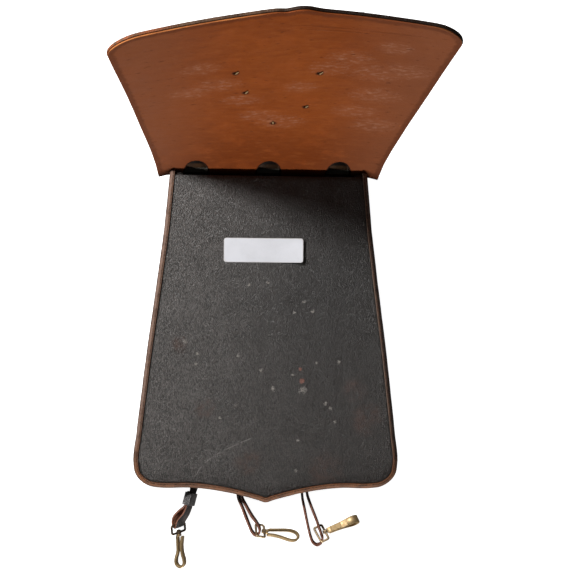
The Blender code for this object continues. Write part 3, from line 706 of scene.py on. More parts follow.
def folded(across, up, depth):
    """Where a point of the flat flap lies once it is folded up, bowed and curled."""
    to_end, to_start, _ = fold_lengths()
    lean = FLAP_LEAN
    if up < -to_end:
        lean = FLAP_LEAN * max(0.0, (up + to_start) / (to_start - to_end))
    normal = Vector((0.0, -math.sin(lean), math.cos(lean)))
    straight = Vector((0.0, math.cos(FLAP_LEAN), math.sin(FLAP_LEAN)))
    front = Vector((0.0, -math.sin(FLAP_LEAN), math.cos(FLAP_LEAN)))
    place = Vector((across, HINGE_Y, HINGE_Z)) + front * OUTER_FRONT
    if up >= -to_end:
        place += straight * up
    else:
        centre = place - straight * to_end + front * FOLD_RADIUS
        place = centre - normal * FOLD_RADIUS
        place.y += min(0.0, up + to_start)
    high = max(up, 0.0) / FLAP_SIDE_UP
    sideways = across / (FLAP_HINGE_HALF_WIDTH + FLAP_GROWTH * FLAP_SIDE_UP)
    bow = FLAP_BOW * high * sideways**2 - FLAP_TWIST * high * sideways
    corner = max(0.0, abs(across) - CURL_START) / CURL_WIDTH
    bow += FLAP_CURL * corner**2 * max(0.0, 1.0 - max(up, 0.0) / CURL_HEIGHT) ** 2
    return place + normal * (depth - OUTER_FRONT) + front * bow * (lean / FLAP_LEAN)


def rounded_rectangle(half_long, half_short, corner, steps):
    """Points round a rectangle with round corners, each with its outward direction."""
    result = []
    for quarter, (sign_x, sign_y) in enumerate(((1, 1), (-1, 1), (-1, -1), (1, -1))):
        centre = Vector((sign_x * (half_long - corner), sign_y * (half_short - corner)))
        for step in range(steps + 1):
            angle = math.radians(90.0 * (quarter + step / steps))
            outward = Vector((math.cos(angle), math.sin(angle)))
            result.append((centre + outward * corner, outward))
    return result


def unit(heading, fall):
    """A direction from its heading in plan and its fall below the horizontal, in degrees."""
    turn, drop = math.radians(heading), math.radians(fall)
    level = math.cos(drop)
    return Vector((level * math.cos(turn), level * math.sin(turn), -math.sin(drop)))


def leaning(lean, heading=180.0):
    """The direction of a strap's width, up from its low edge: flat at 0, on edge at 90."""
    return unit(heading, -lean)


def resting_height(lean):
    """How high the middle of a strap lies when its lowest edge is on the floor."""
    angle = math.radians(lean)
    on_edge = abs(math.sin(angle)) * SLING_WIDTH / 2
    return on_edge + abs(math.cos(angle)) * SLING_THICKNESS / 2


def frame_axes(side):
    """Hook bar centre, direction of the bars, direction to the hook, and the hook's own axis."""
    centre, heading, rise, hook_heading, hook_fall, _ = SLINGS[side]
    bar = unit(heading, -rise)
    axis = unit(hook_heading, hook_fall)
    out = (axis - bar * axis.dot(bar)).normalized()
    return Vector(centre), bar, out, axis


def ring_end_rows(across):
    """The sling's end folded back round its ring, up to where it runs under the pouch."""
    far_y, far_z = RING_FAR
    radius = RING_WIRE + GAP + SLING_THICKNESS / 2
    rows = [(across, -10.0, 0.0, 0.0), (across, 3.0, 0.0, 0.0), (across, 12.0, 0.1, 0.0)]
    for step in range(5):
        angle = math.radians(-90.0 + 45.0 * step)
        lift = far_z + radius * math.sin(angle) - SLING_THICKNESS / 2
        rows.append((across, far_y + radius * math.cos(angle), lift, 0.0))
    return rows + [(across, from_hinge, lift, 0.0) for from_hinge, lift in RING_RUN]


def bar_turn_rows(side):
    """The sling's close turn round its frame's bar, with its width along the bar."""
    centre, bar, out, _ = frame_axes(side)
    _, heading, lean, *_ = SLINGS[side]
    strap_bar = centre - out * FRAME_SHORT
    upper = bar.cross(out).normalized()
    upper = upper if upper.z > 0.0 else -upper
    radius = FRAME_WIRE + GAP + SLING_THICKNESS / 2
    rows = []
    for step in range(5):
        angle = math.radians(90.0 - 45.0 * step)
        place = strap_bar + (out * math.cos(angle) + upper * math.sin(angle)) * radius
        rows.append((place.x, place.y, place.z - resting_height(lean), lean, heading))
    return rows


def keeper_axes():
    """Along the doubled sling in its keeper, across its width, and through to the folded end."""
    start, end = Vector(KEEPER_RUN[0][:3]), Vector(KEEPER_RUN[-1][:3])
    along = (end - start).normalized()
    wide = leaning(KEEPER_RUN[0][3])
    wide = (wide - along * wide.dot(along)).normalized()
    return along, wide, along.cross(wide)


def left_end_rows():
    """The left sling through its keeper, round its frame's bar and back into the keeper."""
    _, _, through = keeper_axes()
    beside = through * (SLING_THICKNESS + GAP)
    folded_back = [tuple(Vector(row[:3]) + beside) + (row[3],) for row in KEEPER_RUN]
    turn = bar_turn_rows("left")
    return [*KEEPER_RUN, *LEFT_BELOW_KEEPER, *turn, *LEFT_RETURN, *reversed(folded_back)]


def sling_route(side):
    """Places and width directions from the folded end at the ring to the one at the frame."""
    rows = ring_end_rows(dict(NOTCH_CENTRES)[side]) + list(SLING_ROUTES[side])
    if side == "left":
        rows += left_end_rows()
    rows = [(*row, 180.0) if len(row) == 4 else row for row in rows]
    route = []
    for across, from_hinge, lift, lean, heading in smooth_rows(rows, 6):
        height = resting_height(lean) + max(lift, 0.0)
        route.append((Vector((across, from_hinge, height)), leaning(lean, heading)))
    return route


# ---- making solids


def sweep(sections, marks=None, closed=False):
    """A skin through equal sections; a closed one ends where it starts.

    The point attribute "mark" tells where round the section a point is, and "run" how far along.
    """
    bm = bmesh.new()
    mark = bm.verts.layers.float.new("mark")
    run = bm.verts.layers.float.new("run")
    first = bm.faces.new([bm.verts.new(point) for point in sections[0]])
    for index, vert in enumerate(first.verts):
        vert[mark] = marks[index] if marks else 0.0
    last = first
    travelled = 0.0
    following = list(sections[1:]) + ([sections[0]] if closed else [])
    for section in following:
        made = bmesh.ops.extrude_face_region(bm, geom=[last, *last.edges])["geom"]
        last = next(part for part in made if isinstance(part, bmesh.types.BMFace))
        travelled += (Vector(section[0]) - last.verts[0].co).length
        for vert, point in zip(last.verts, section):
            vert.co = point
            vert[run] = travelled
    if closed:
        bmesh.ops.delete(bm, geom=[first, last], context="FACES_ONLY")
        bmesh.ops.remove_doubles(bm, verts=bm.verts, dist=0.001)
    return bm


def strip_profile(width, thickness, edge, crease=0.0):
    """Points round a strip's section, across its width and through its thickness."""
    wide, thick = width / 2, thickness / 2
    lower = [(-wide + edge, -thick), (wide - edge, -thick)]
    right = [(wide, -thick + edge), (wide, thick - edge), (wide - edge, thick)]
    if crease > 0.0:
        outer, middle, inner = (wide - inset for inset in CREASE_INSETS)
        right += [(outer, thick), (middle, thick - crease), (inner, thick)]
    left = [(-across, through) for across, through in reversed(right)]
    return lower + right + left


def strip_sections(route, profile):
    """Sections of a strip along a route of places and width directions."""
    sections = []
    for index, (place, wide) in enumerate(route):
        before = route[max(index - 1, 0)][0]
        after = route[min(index + 1, len(route) - 1)][0]
        along = (after - before).normalized()
        across = (wide - along * wide.dot(along)).normalized()
        through = along.cross(across)
        sections.append([place + across * w + through * t for w, t in profile])
    return sections


def edge_sections(outline, section):
    """A section carried round the sides and foot of the pouch, open at the top."""
    sections = []
    for point, direction in zip(outline, inward_directions(outline)):
        places = [(Vector(point) + direction * inset, level) for inset, level in section]
        sections.append([Vector((place.x, place.y, level)) for place, level in places])
    return sections


def loop_solid(half_long, half_short, corner, section, steps=6):
    """A section carried round a rounded rectangle that lies flat about its own centre."""
    sections = []
    for point, outward in rounded_rectangle(half_long, half_short, corner, steps):
        places = [(point + outward * out, level) for out, level in section]
        sections.append([Vector((place.x, place.y, level)) for place, level in places])
    return sweep(sections, closed=True)


def circle_section(radius, sides):
    """A wire's section: out from the loop and along its axis."""
    turns = [2.0 * math.pi * (step + 0.5) / sides for step in range(sides)]
    return [(radius * math.cos(turn), radius * math.sin(turn)) for turn in turns]


def turned(profile, sides, closed=False):
    """A skin turned about the X axis from rows of place and radius."""
    bm = bmesh.new()
    verts = [bm.verts.new((along, radius, 0.0)) for along, radius in profile]
    pairs = list(zip(verts, verts[1:])) + ([(verts[-1], verts[0])] if closed else [])
    edges = [bm.edges.new(pair) for pair in pairs]
    bmesh.ops.spin(
        bm,
        geom=verts + edges,
        cent=(0.0, 0.0, 0.0),
        axis=(1.0, 0.0, 0.0),
        angle=2.0 * math.pi,
        steps=sides,
        use_merge=True,
    )
    bmesh.ops.remove_doubles(bm, verts=bm.verts, dist=0.001)
    return bm


def facing(x_axis, y_axis, place):
    """A frame of reference from two directions and a place, in millimetres."""
    z_axis = x_axis.cross(y_axis)
    matrix = Matrix((x_axis, y_axis, z_axis)).transposed().to_4x4()
    return Matrix.Translation(place) @ matrix


def placed(bm, matrix):
    bmesh.ops.transform(bm, matrix=matrix, verts=bm.verts)
    return bm


def joined(*parts):
    """Several meshes as one, with their attributes."""
    result = bmesh.new()
    for part in parts:
        mesh = bpy.data.meshes.new("part")
        part.to_mesh(mesh)
        part.free()
        result.from_mesh(mesh)
        bpy.data.meshes.remove(mesh)
    return result


def cut_sheet(outline, across_cuts, up_cuts):
    """A flat sheet cut from leather, with a grid of cuts to bend it along."""
    bm = bmesh.new()
    bm.faces.new([bm.verts.new((x, up, 0.0)) for x, up in outline])
    cuts = [((x, 0.0, 0.0), (1.0, 0.0, 0.0)) for x in across_cuts]
    cuts += [((0.0, up, 0.0), (0.0, 1.0, 0.0)) for up in up_cuts]
    for place, direction in cuts:
        parts = list(bm.verts) + list(bm.edges) + list(bm.faces)
        bmesh.ops.bisect_plane(bm, geom=parts, dist=0.01, plane_co=place, plane_no=direction)
    return bm


def punch_hole(bm, centre, radius, sides=12):
    """Punches a round hole through a flat sheet."""
    middle = Vector((*centre, 0.0))
    for step in range(sides):
        angle = 2.0 * math.pi * step / sides
        direction = Vector((math.cos(angle), math.sin(angle), 0.0))
        near = []
        for face in bm.faces:
            if (face.calc_center_median() - middle).length < HOLE_NEAR:
                near.append(face)
        edges = {edge for face in near for edge in face.edges}
        verts = {vert for face in near for vert in face.verts}
        bmesh.ops.bisect_plane(
            bm,
            geom=[*verts, *edges, *near],
            dist=0.001,
            plane_co=middle + direction * radius,
            plane_no=direction,
        )
    inside = []
    for face in bm.faces:
        if (face.calc_center_median() - middle).length < radius:
            inside.append(face)
    bmesh.ops.delete(bm, geom=inside, context="FACES")


def thicken(bm, depth):
    """Gives a flat sheet its thickness, downwards."""
    made = bmesh.ops.extrude_face_region(bm, geom=list(bm.faces))["geom"]
    lowered = [part for part in made if isinstance(part, bmesh.types.BMVert)]
    bmesh.ops.translate(bm, vec=(0.0, 0.0, -depth), verts=lowered)
    bmesh.ops.recalc_face_normals(bm, faces=bm.faces)


def round_rims(bm, radius, segments=2):
    """Rounds the edges between a flat sheet's faces and its cut sides."""
    bm.normal_update()
    rims = []
    for edge in bm.edges:
        if not edge.is_manifold or edge.calc_face_angle(0.0) < math.radians(60.0):
            continue
        if any(abs(face.normal.z) > 0.9 for face in edge.link_faces):
            rims.append(edge)
    bmesh.ops.bevel(
        bm,
        geom=rims,
        offset=radius,
        offset_type="OFFSET",
        segments=segments,
        profile=0.5,
        affect="EDGES",
        material=-1,
    )


def mark_rim(bm, outline, closed=True, name="rim"):
    """Stores how far each point is from the outline, in millimetres, as an attribute."""
    places = []
    pairs = list(zip(outline, outline[1:]))
    if closed:
        pairs.append((outline[-1], outline[0]))
    for start, end in pairs:
        start, end = Vector(start[:2]), Vector(end[:2])
        steps = max(1, round((end - start).length / RIM_STEP))
        places += [start.lerp(end, step / steps) for step in range(steps)]
    tree = kdtree.KDTree(len(places))
    for index, place in enumerate(places):
        tree.insert((place.x, place.y, 0.0), index)
    tree.balance()
    rim = bm.verts.layers.float.new(name)
    for vert in bm.verts:
        vert[rim] = tree.find((vert.co.x, vert.co.y, 0.0))[2]


def mark_flat(bm):
    """Stores each point's place on the flat leather, in metres, as "across" and "up"."""
    across, up = bm.verts.layers.float.new("across"), bm.verts.layers.float.new("up")
    for vert in bm.verts:
        vert[across], vert[up] = vert.co.x * MM, vert.co.y * MM


def steps_between(low, high, spacing):
    count = int((high - low) / spacing)
    return [low + spacing * (step + 0.5) for step in range(count)]


def ripple(x, y, size, seed):
    """A smooth uneven value between about -1 and 1."""
    return noise.noise(Vector((x / size, y / size, seed)))


def waves(x, y, rows):
    """Uneven waves on top of each other, from rows of height, size and seed."""
    return sum(height * ripple(x, y, size, seed) for height, size, seed in rows)


def share(value, start, over):
    """How far a value is from its start over a length, kept between 0 and 1."""
    return min(1.0, max(0.0, (value - start) / over))


# ---- shader groups and materials


def add_node(tree, kind, inputs=None, **settings):
    """Adds a node with its settings, and gives each named input a value or a link."""
    made = tree.nodes.new(kind)
    for key, value in settings.items():
        setattr(made, key, value)
    for key, value in (inputs or {}).items():
        socket = made.inputs[key]
        if isinstance(value, bpy.types.NodeSocket):
            tree.links.new(value, socket)
        else:
            socket.default_value = value
    return made


def start_group(name, inputs, outputs):
    """A shader group with its own named sockets; gives the group, its inputs and its outputs."""
    group = bpy.data.node_groups.new(name, "ShaderNodeTree")
    for label, kind, value in inputs:
        socket = group.interface.new_socket(label, in_out="INPUT", socket_type=kind)
        if value is not None:
            socket.default_value = value
    for label in outputs:
        group.interface.new_socket(label, in_out="OUTPUT", socket_type="NodeSocketFloat")
    entry = group.nodes.new("NodeGroupInput")
    leave = group.nodes.new("NodeGroupOutput")
    return group, entry.outputs, leave.inputs


def maths(tree, operation, first, second=0.0, clamp=False):
    made = tree.nodes.new("ShaderNodeMath")
    made.operation = operation
    made.use_clamp = clamp
    for index, value in enumerate((first, second)):
        if isinstance(value, bpy.types.NodeSocket):
            tree.links.new(value, made.inputs[index])
        else:
            made.inputs[index].default_value = value
    return made.outputs[0]


def vector_maths(tree, operation, inputs, output="Vector"):
    made = add_node(tree, "ShaderNodeVectorMath", inputs, operation=operation)
    return made.outputs[output]


def broken_border(tree, vector, scale, detail, amount):
    """Fine noise about zero, to break up a mark's border."""
    inputs = {"Vector": vector, "Scale": scale, "Detail": detail}
    grain = add_node(tree, "ShaderNodeTexNoise", inputs).outputs["Fac"]
    return maths(tree, "MULTIPLY", maths(tree, "SUBTRACT", grain, 0.5), amount)


def ranged(tree, value, low, high, to_low=0.0, to_high=1.0):
    """A value brought from one range to another with soft ends."""
    inputs = {"Value": value, "From Min": low, "From Max": high}
    inputs |= {"To Min": to_low, "To Max": to_high}
    made = add_node(tree, "ShaderNodeMapRange", inputs, interpolation_type="SMOOTHSTEP")
    return made.outputs["Result"]


def grain_group():
    """Leather's pebble: raised cells with creases between them."""
    sockets = (("Vector", "NodeSocketVector", None), ("Cells", "NodeSocketFloat", 550.0))
    group, given, result = start_group("leather grain", sockets, ("Height", "Creases"))
    third = maths(group, "MULTIPLY", given["Cells"], 0.33)
    inputs = {"Vector": given["Vector"], "Scale": third, "Detail": 2.0}
    wander = add_node(group, "ShaderNodeTexNoise", inputs).outputs["Color"]
    drift = vector_maths(group, "SUBTRACT", {0: wander, 1: (0.5, 0.5, 0.5)})
    size = maths(group, "DIVIDE", 0.9, given["Cells"])
    shift = vector_maths(group, "SCALE", {0: drift, "Scale": size})
    place = vector_maths(group, "ADD", {0: given["Vector"], 1: shift})
    inputs = {"Vector": place, "Scale": given["Cells"]}
    cells = add_node(group, "ShaderNodeTexVoronoi", inputs, feature="DISTANCE_TO_EDGE")
    plateau = ranged(group, cells.outputs["Distance"], 0.0, 0.22)
    fourfold = maths(group, "MULTIPLY", given["Cells"], 3.7)
    inputs = {"Vector": place, "Scale": fourfold, "Detail": 2.0}
    fine = add_node(group, "ShaderNodeTexNoise", inputs)
    raised = maths(group, "MULTIPLY", plateau, 0.75)
    detail = maths(group, "MULTIPLY", fine.outputs["Fac"], 0.25)
    group.links.new(maths(group, "ADD", raised, detail), result["Height"])
    group.links.new(maths(group, "SUBTRACT", 1.0, plateau), result["Creases"])
    return group


def patch_group():
    """Uneven patches: how much of the surface they cover, and how ragged their borders are."""
    sockets = (
        ("Vector", "NodeSocketVector", None),
        ("Size", "NodeSocketFloat", 20.0),
        ("Cover", "NodeSocketFloat", 0.5),
        ("Softness", "NodeSocketFloat", 0.15),
    )
    group, given, result = start_group("uneven patches", sockets, ("Mask",))
    cloud = add_node(
        group,
        "ShaderNodeTexNoise",
        {"Vector": given["Vector"], "Scale": given["Size"], "Detail": 6.0, "Roughness": 0.62},
    )
    level = maths(group, "SUBTRACT", 1.0, given["Cover"])
    low = maths(group, "SUBTRACT", level, given["Softness"])
    high = maths(group, "ADD", level, given["Softness"])
    group.links.new(ranged(group, cloud.outputs["Fac"], low, high), result["Mask"])
    return group


def scuff_group():
    """A single mark on the surface, with a broken border."""
    sockets = (
        ("Vector", "NodeSocketVector", None),
        ("Centre", "NodeSocketVector", None),
        ("Reach", "NodeSocketFloat", 0.002),
        ("Ragged", "NodeSocketFloat", 0.5),
    )
    group, given, result = start_group("single scuff", sockets, ("Mask",))
    places = {0: given["Vector"], 1: given["Centre"]}
    apart = vector_maths(group, "DISTANCE", places, "Value")
    ragged = broken_border(group, given["Vector"], 700.0, 3.0, given["Ragged"])
    edge = maths(group, "ADD", maths(group, "DIVIDE", apart, given["Reach"]), ragged)
    group.links.new(ranged(group, edge, 1.0, 0.45), result["Mask"])
    return group


def long_scuff_group():
    """A narrow mark with its own direction, in the plane of X and Y."""
    sockets = (
        ("Vector", "NodeSocketVector", None),
        ("Centre", "NodeSocketVector", None),
        ("Turn", "NodeSocketFloat", 0.0),
        ("Long", "NodeSocketFloat", 0.01),
        ("Wide", "NodeSocketFloat", 0.001),
        ("Ragged", "NodeSocketFloat", 0.5),
    )
    group, given, result = start_group("long scuff", sockets, ("Mask",))
    off = vector_maths(group, "SUBTRACT", {0: given["Vector"], 1: given["Centre"]})
    inputs = {"Vector": off, "Angle": maths(group, "MULTIPLY", given["Turn"], -1.0)}
    level = add_node(group, "ShaderNodeVectorRotate", inputs, rotation_type="Z_AXIS")
    apart = add_node(group, "ShaderNodeSeparateXYZ", {"Vector": level.outputs[0]})
    along = maths(group, "DIVIDE", apart.outputs["X"], given["Long"])
    sideways = maths(group, "DIVIDE", apart.outputs["Y"], given["Wide"])
    square = maths(group, "MULTIPLY", along, along)
    square = maths(group, "ADD", square, maths(group, "MULTIPLY", sideways, sideways))
    ragged = broken_border(group, given["Vector"], 500.0, 3.0, given["Ragged"])
    edge = maths(group, "ADD", maths(group, "SQRT", square), ragged)
    group.links.new(ranged(group, edge, 1.0, 0.4), result["Mask"])
    return group


def worn_edge_group():
    """Wear along a rim, from a distance to the rim, broken up by the grain."""
    sockets = (
        ("Vector", "NodeSocketVector", None),
        ("Distance", "NodeSocketFloat", 0.0),
        ("Width", "NodeSocketFloat", 1.0),
        ("Broken", "NodeSocketFloat", 0.6),
    )
    group, given, result = start_group("worn edge", sockets, ("Mask",))
    broken = broken_border(group, given["Vector"], 160.0, 5.0, given["Broken"])
    edge = maths(group, "ADD", maths(group, "DIVIDE", given["Distance"], given["Width"]), broken)
    group.links.new(ranged(group, edge, 1.0, 0.5), result["Mask"])
    return group


class Finish:
    """A material under way: its tree, its place on the piece and its shader."""

    def __init__(self, groups, name, roughness, metallic=0.0, specular=0.5, index=1.5, flat=False):
        self.groups = groups
        self.material = bpy.data.materials.new(name)
        self.material.use_nodes = True
        self.tree = self.material.node_tree
        self.shader = self.tree.nodes["Principled BSDF"]
        self.shader.inputs["Roughness"].default_value = roughness
        self.shader.inputs["Metallic"].default_value = metallic
        self.shader.inputs["Specular IOR Level"].default_value = specular
        self.shader.inputs["IOR"].default_value = index
        if flat:
            places = {"X": self.attribute("across"), "Y": self.attribute("up")}
            self.place = add_node(self.tree, "ShaderNodeCombineXYZ", places).outputs[0]
        else:
            self.place = self.tree.nodes.new("ShaderNodeTexCoord").outputs["Object"]

    def attribute(self, name):
        return add_node(self.tree, "ShaderNodeAttribute", attribute_name=name).outputs["Fac"]

    def stretched(self, scale, turn=(0.0, 0.0, 0.0)):
        inputs = {"Vector": self.place, "Scale": scale, "Rotation": turn}
        return add_node(self.tree, "ShaderNodeMapping", inputs).outputs[0]

    def noise(self, scale, detail=3.0, vector=None, roughness=0.55):
        inputs = {"Vector": vector or self.place, "Scale": scale}
        inputs |= {"Detail": detail, "Roughness": roughness}
        return add_node(self.tree, "ShaderNodeTexNoise", inputs).outputs["Fac"]

    def use(self, group, output, vector=None, **inputs):
        made = self.tree.nodes.new("ShaderNodeGroup")
        made.node_tree = self.groups[group]
        self.tree.links.new(vector or self.place, made.inputs["Vector"])
        for key, value in inputs.items():
            if isinstance(value, bpy.types.NodeSocket):
                self.tree.links.new(value, made.inputs[key])
            else:
                made.inputs[key].default_value = value
        return made.outputs[output]

    def along(self, axis):
        """The place's own X or Y."""
        return add_node(self.tree, "ShaderNodeSeparateXYZ", {"Vector": self.place}).outputs[axis]

    def patches(self, size, cover, softness):
        return self.use("patch", "Mask", Size=size, Cover=cover, Softness=softness)

    def edge_wear(self, distance, width, broken):
        return self.use("edge", "Mask", Distance=distance, Width=width, Broken=broken)

    def spot(self, centre, reach, ragged):
        """A round mark; its reach is in millimetres."""
        return self.use("scuff", "Mask", Centre=centre, Reach=reach * MM, Ragged=ragged)

    def line(self, start, end, wide, ragged):
        """A narrow mark from one place to another."""
        return self.use(
            "line",
            "Mask",
            Centre=(start + end) / 2,
            Turn=math.atan2(end.y - start.y, end.x - start.x),
            Long=(end - start).length * 0.55,
            Wide=wide * MM,
            Ragged=ragged,
        )

    def strongest(self, masks):
        """The highest of several masks."""
        result = None
        for mask in masks:
            result = mask if result is None else self.maths("MAXIMUM", result, mask)
        return result

    def tinted(self, colour, mask, strength, tint):
        """A colour with a tint over it where the mask is."""
        return self.mix(self.maths("MULTIPLY", mask, strength), colour, tint)

    def mix(self, factor, first, second):
        """One colour over another; colours are linear red, green, blue or a link."""
        made = self.tree.nodes.new("ShaderNodeMix")
        made.data_type = "RGBA"
        for index, value in ((0, factor), (6, first), (7, second)):
            if isinstance(value, bpy.types.NodeSocket):
                self.tree.links.new(value, made.inputs[index])
            elif index:
                made.inputs[index].default_value = (*value, 1.0)
            else:
                made.inputs[index].default_value = value
        return made.outputs[2]

    def maths(self, operation, first, second=0.0, clamp=False):
        return maths(self.tree, operation, first, second, clamp)

    def ranged(self, value, low, high, to_low=0.0, to_high=1.0):
        return ranged(self.tree, value, low, high, to_low, to_high)

    def bump(self, height, distance, strength=1.0, under=None):
        inputs = {"Height": height, "Distance": distance, "Strength": strength}
        if under is not None:
            inputs["Normal"] = under
        return add_node(self.tree, "ShaderNodeBump", inputs).outputs["Normal"]

    def done(self, colour, roughness=None, normal=None, metallic=None):
        for key, value in (
            ("Base Color", colour),
            ("Roughness", roughness),
            ("Normal", normal),
            ("Metallic", metallic),
        ):
            if value is not None:
                self.tree.links.new(value, self.shader.inputs[key])
        return self.material


def on_panel(across, from_hinge):
    """A place on the front panel, in the object's metres."""
    return HINGE_PLACE + Vector((across, from_hinge, FRONT_TOP)) * MM


def on_flap(across, up):
    """A place on the flat flap, in the metres of its attributes "across" and "up"."""
    return Vector((across, up, 0.0)) * MM


def pebbled_leather(groups):
    """Black leather with a coarse pebble, browner where it is worn. Its colour holds painted light:
    lighter and greyer at the left, where the light falls, and darker towards the hinge as painted
    shade of the flap; painted shade also darkens the grain's hollows and creases and the rim beside
    the welt.
    """
    look = Finish(groups, "black_pebbled_leather", 0.4, specular=0.8)
    broad = look.patches(9.0, 0.5, 0.2)
    colour = look.mix(broad, (0.009, 0.0072, 0.0062), (0.0135, 0.0112, 0.01))
    # Painted shade: the panel is darker towards the hinge, where the flap's shadow reaches, and
    # lighter and a little browner towards the foot.
    down = look.along("Y")
    colour = look.mix(look.ranged(down, 0.06, -0.17, 0.0, 1.0), colour, (0.034, 0.0265, 0.023))
    # Painted light: the panel is lighter and greyer towards the left, where the light falls, broken
    # into patches.
    side = look.along("X")
    painted_light_left = look.ranged(side, 0.08, -0.12, 0.0, 1.0)
    uneven = look.ranged(look.noise(40.0, 5.0), 0.25, 0.7, 0.55, 1.0)
    painted_light_left = look.maths("MULTIPLY", painted_light_left, uneven)
    colour = look.mix(painted_light_left, colour, (0.125, 0.113, 0.107))
    streaks = look.noise(1.0, 2.0, look.stretched((950.0, 400.0, 600.0)), 0.5)
    # Painted shade: the grain's streaks are darkened in their hollows.
    painted_grain_shade = look.ranged(streaks, 0.56, 0.4, 0.0, 0.75)
    colour = look.mix(painted_grain_shade, colour, (0.007, 0.006, 0.0055))
    ragged = look.patches(70.0, 0.5, 0.15)
    spots = [look.spot(on_panel(*place), reach, 0.7) for *place, reach in BROWN_PLACES]
    brown = look.strongest(spots)
    brown = look.maths("MULTIPLY", brown, look.maths("MULTIPLY", ragged, 0.85))
    colour = look.mix(brown, colour, (0.07, 0.034, 0.024))
    drawn = look.stretched((1.2, 0.8, 1.0))
    creases = look.use("grain", "Creases", drawn, Cells=PANEL_CELLS)
    # Painted shade: the panel is darker in the grain's creases.
    colour = look.tinted(colour, creases, 0.6, (0.004, 0.003, 0.003))
    dust = look.patches(420.0, 0.3, 0.05)
    dust = look.maths("MULTIPLY", dust, 0.3)
    colour = look.mix(dust, colour, (0.05, 0.046, 0.044))
    worn_away = look.ranged(look.noise(620.0, 4.0, None, 0.65), 0.38, 0.6, 0.15, 0.85)
    for *place, reach in PANEL_SPECKS:
        spot = look.spot(on_panel(*place), reach * 2.3, 2.2)
        colour = look.tinted(colour, spot, worn_away, (0.3, 0.28, 0.25))
    for *place, reach in RED_SPOTS:
        spot = look.spot(on_panel(*place), reach * 1.5, 0.8)
        colour = look.tinted(colour, spot, 0.85, (0.21, 0.07, 0.045))
    for start, end in zip(SCRATCH, SCRATCH[1:]):
        line = look.line(on_panel(*start), on_panel(*end), 0.7, 1.1)
        colour = look.tinted(colour, line, 0.75, (0.18, 0.165, 0.155))
    # Painted shadow: the panel's rim is darkened to near black where the raised welt shades it.
    worn = look.edge_wear(look.attribute("rim"), 2.2, 1.2)
    colour = look.tinted(colour, worn, 0.8, (0.004, 0.003, 0.002))
    height = look.use("grain", "Height", drawn, Cells=PANEL_CELLS)
    normal = look.bump(look.noise(28.0), 0.0012, 0.7)
    normal = look.bump(streaks, 0.0007, 0.9, normal)
    normal = look.bump(height, 0.00034, 0.85, normal)
    rough = look.ranged(look.noise(60.0, 5.0), 0.3, 0.75, 0.4, 0.5)
    return look.done(colour, rough, normal)


def black_leather(groups):
    look = Finish(groups, "black_smooth_leather", 0.45, specular=0.4)
    broad = look.patches(14.0, 0.5, 0.2)
    colour = look.mix(broad, (0.014, 0.012, 0.011), (0.028, 0.022, 0.019))
    creases = look.use("grain", "Creases", Cells=900.0)
    colour = look.tinted(colour, creases, 0.4, (0.006, 0.005, 0.005))
    rubbed = look.patches(55.0, 0.36, 0.06)
    colour = look.tinted(colour, rubbed, 0.4, (0.06, 0.04, 0.028))
    height = look.use("grain", "Height", Cells=900.0)
    normal = look.bump(look.noise(45.0), 0.0008, 0.6)
    normal = look.bump(height, 0.00025, 0.8, normal)
    rough = look.ranged(look.noise(70.0, 5.0), 0.3, 0.75, 0.34, 0.58)
    return look.done(colour, rough, normal)


def keeper_leather(groups):
    """Grey-black leather, polished by handling."""
    look = Finish(groups, "keeper_leather", 0.35, specular=1.0, index=1.7)
    patch = look.patches(90.0, 0.5, 0.12)
    colour = look.mix(patch, (0.035, 0.032, 0.034), (0.1, 0.092, 0.092))
    height = look.use("grain", "Height", Cells=900.0)
    normal = look.bump(height, 0.0003, 0.8, look.bump(look.noise(90.0), 0.0008, 0.6))
    return look.done(colour, look.ranged(look.noise(80.0), 0.3, 0.75, 0.3, 0.5), normal)


def flap_leather(groups):
    """Black grain side with a brown cut edge, redder at the left and painted lighter there as a
    painted highlight, where the light falls on it.
    """
    look = Finish(groups, "flap_outer_leather", 0.5, specular=0.12, flat=True)
    broad = look.patches(14.0, 0.5, 0.2)
    colour = look.mix(broad, (0.012, 0.01, 0.009), (0.026, 0.02, 0.017))
    creases = look.use("grain", "Creases", Cells=700.0)
    colour = look.tinted(colour, creases, 0.4, (0.006, 0.005, 0.005))
    rim = look.attribute("rim")
    worn = look.edge_wear(rim, 2.4, 1.0)
    streak = look.noise(1.0, 5.0, look.stretched((60.0, 500.0, 500.0)))
    # Painted highlight: the cut edge is lighter at the left, where the light falls on it.
    to_left = look.ranged(look.attribute("across"), 0.02, -0.03)
    edge_brown_painted_highlight = look.mix(to_left, (0.016, 0.008, 0.005), (0.085, 0.046, 0.027))
    edge_brown_painted_highlight = look.mix(look.ranged(streak, 0.45, 0.7), edge_brown_painted_highlight, (0.016, 0.009, 0.006))
    colour = look.mix(worn, colour, edge_brown_painted_highlight)
    red = look.spot(on_flap(-138.0, 305.0), 55.0, 0.3)
    red = look.maths("MULTIPLY", red, look.ranged(streak, 0.35, 0.55))
    red = look.maths("MULTIPLY", red, worn)
    colour = look.mix(red, colour, (0.2, 0.06, 0.022))
    height = look.use("grain", "Height", Cells=700.0)
    normal = look.bump(look.noise(45.0), 0.0008, 0.6)
    normal = look.bump(height, 0.0003, 0.8, normal)
    rough = look.ranged(look.noise(70.0, 5.0), 0.3, 0.75, 0.36, 0.6)
    return look.done(colour, rough, normal)


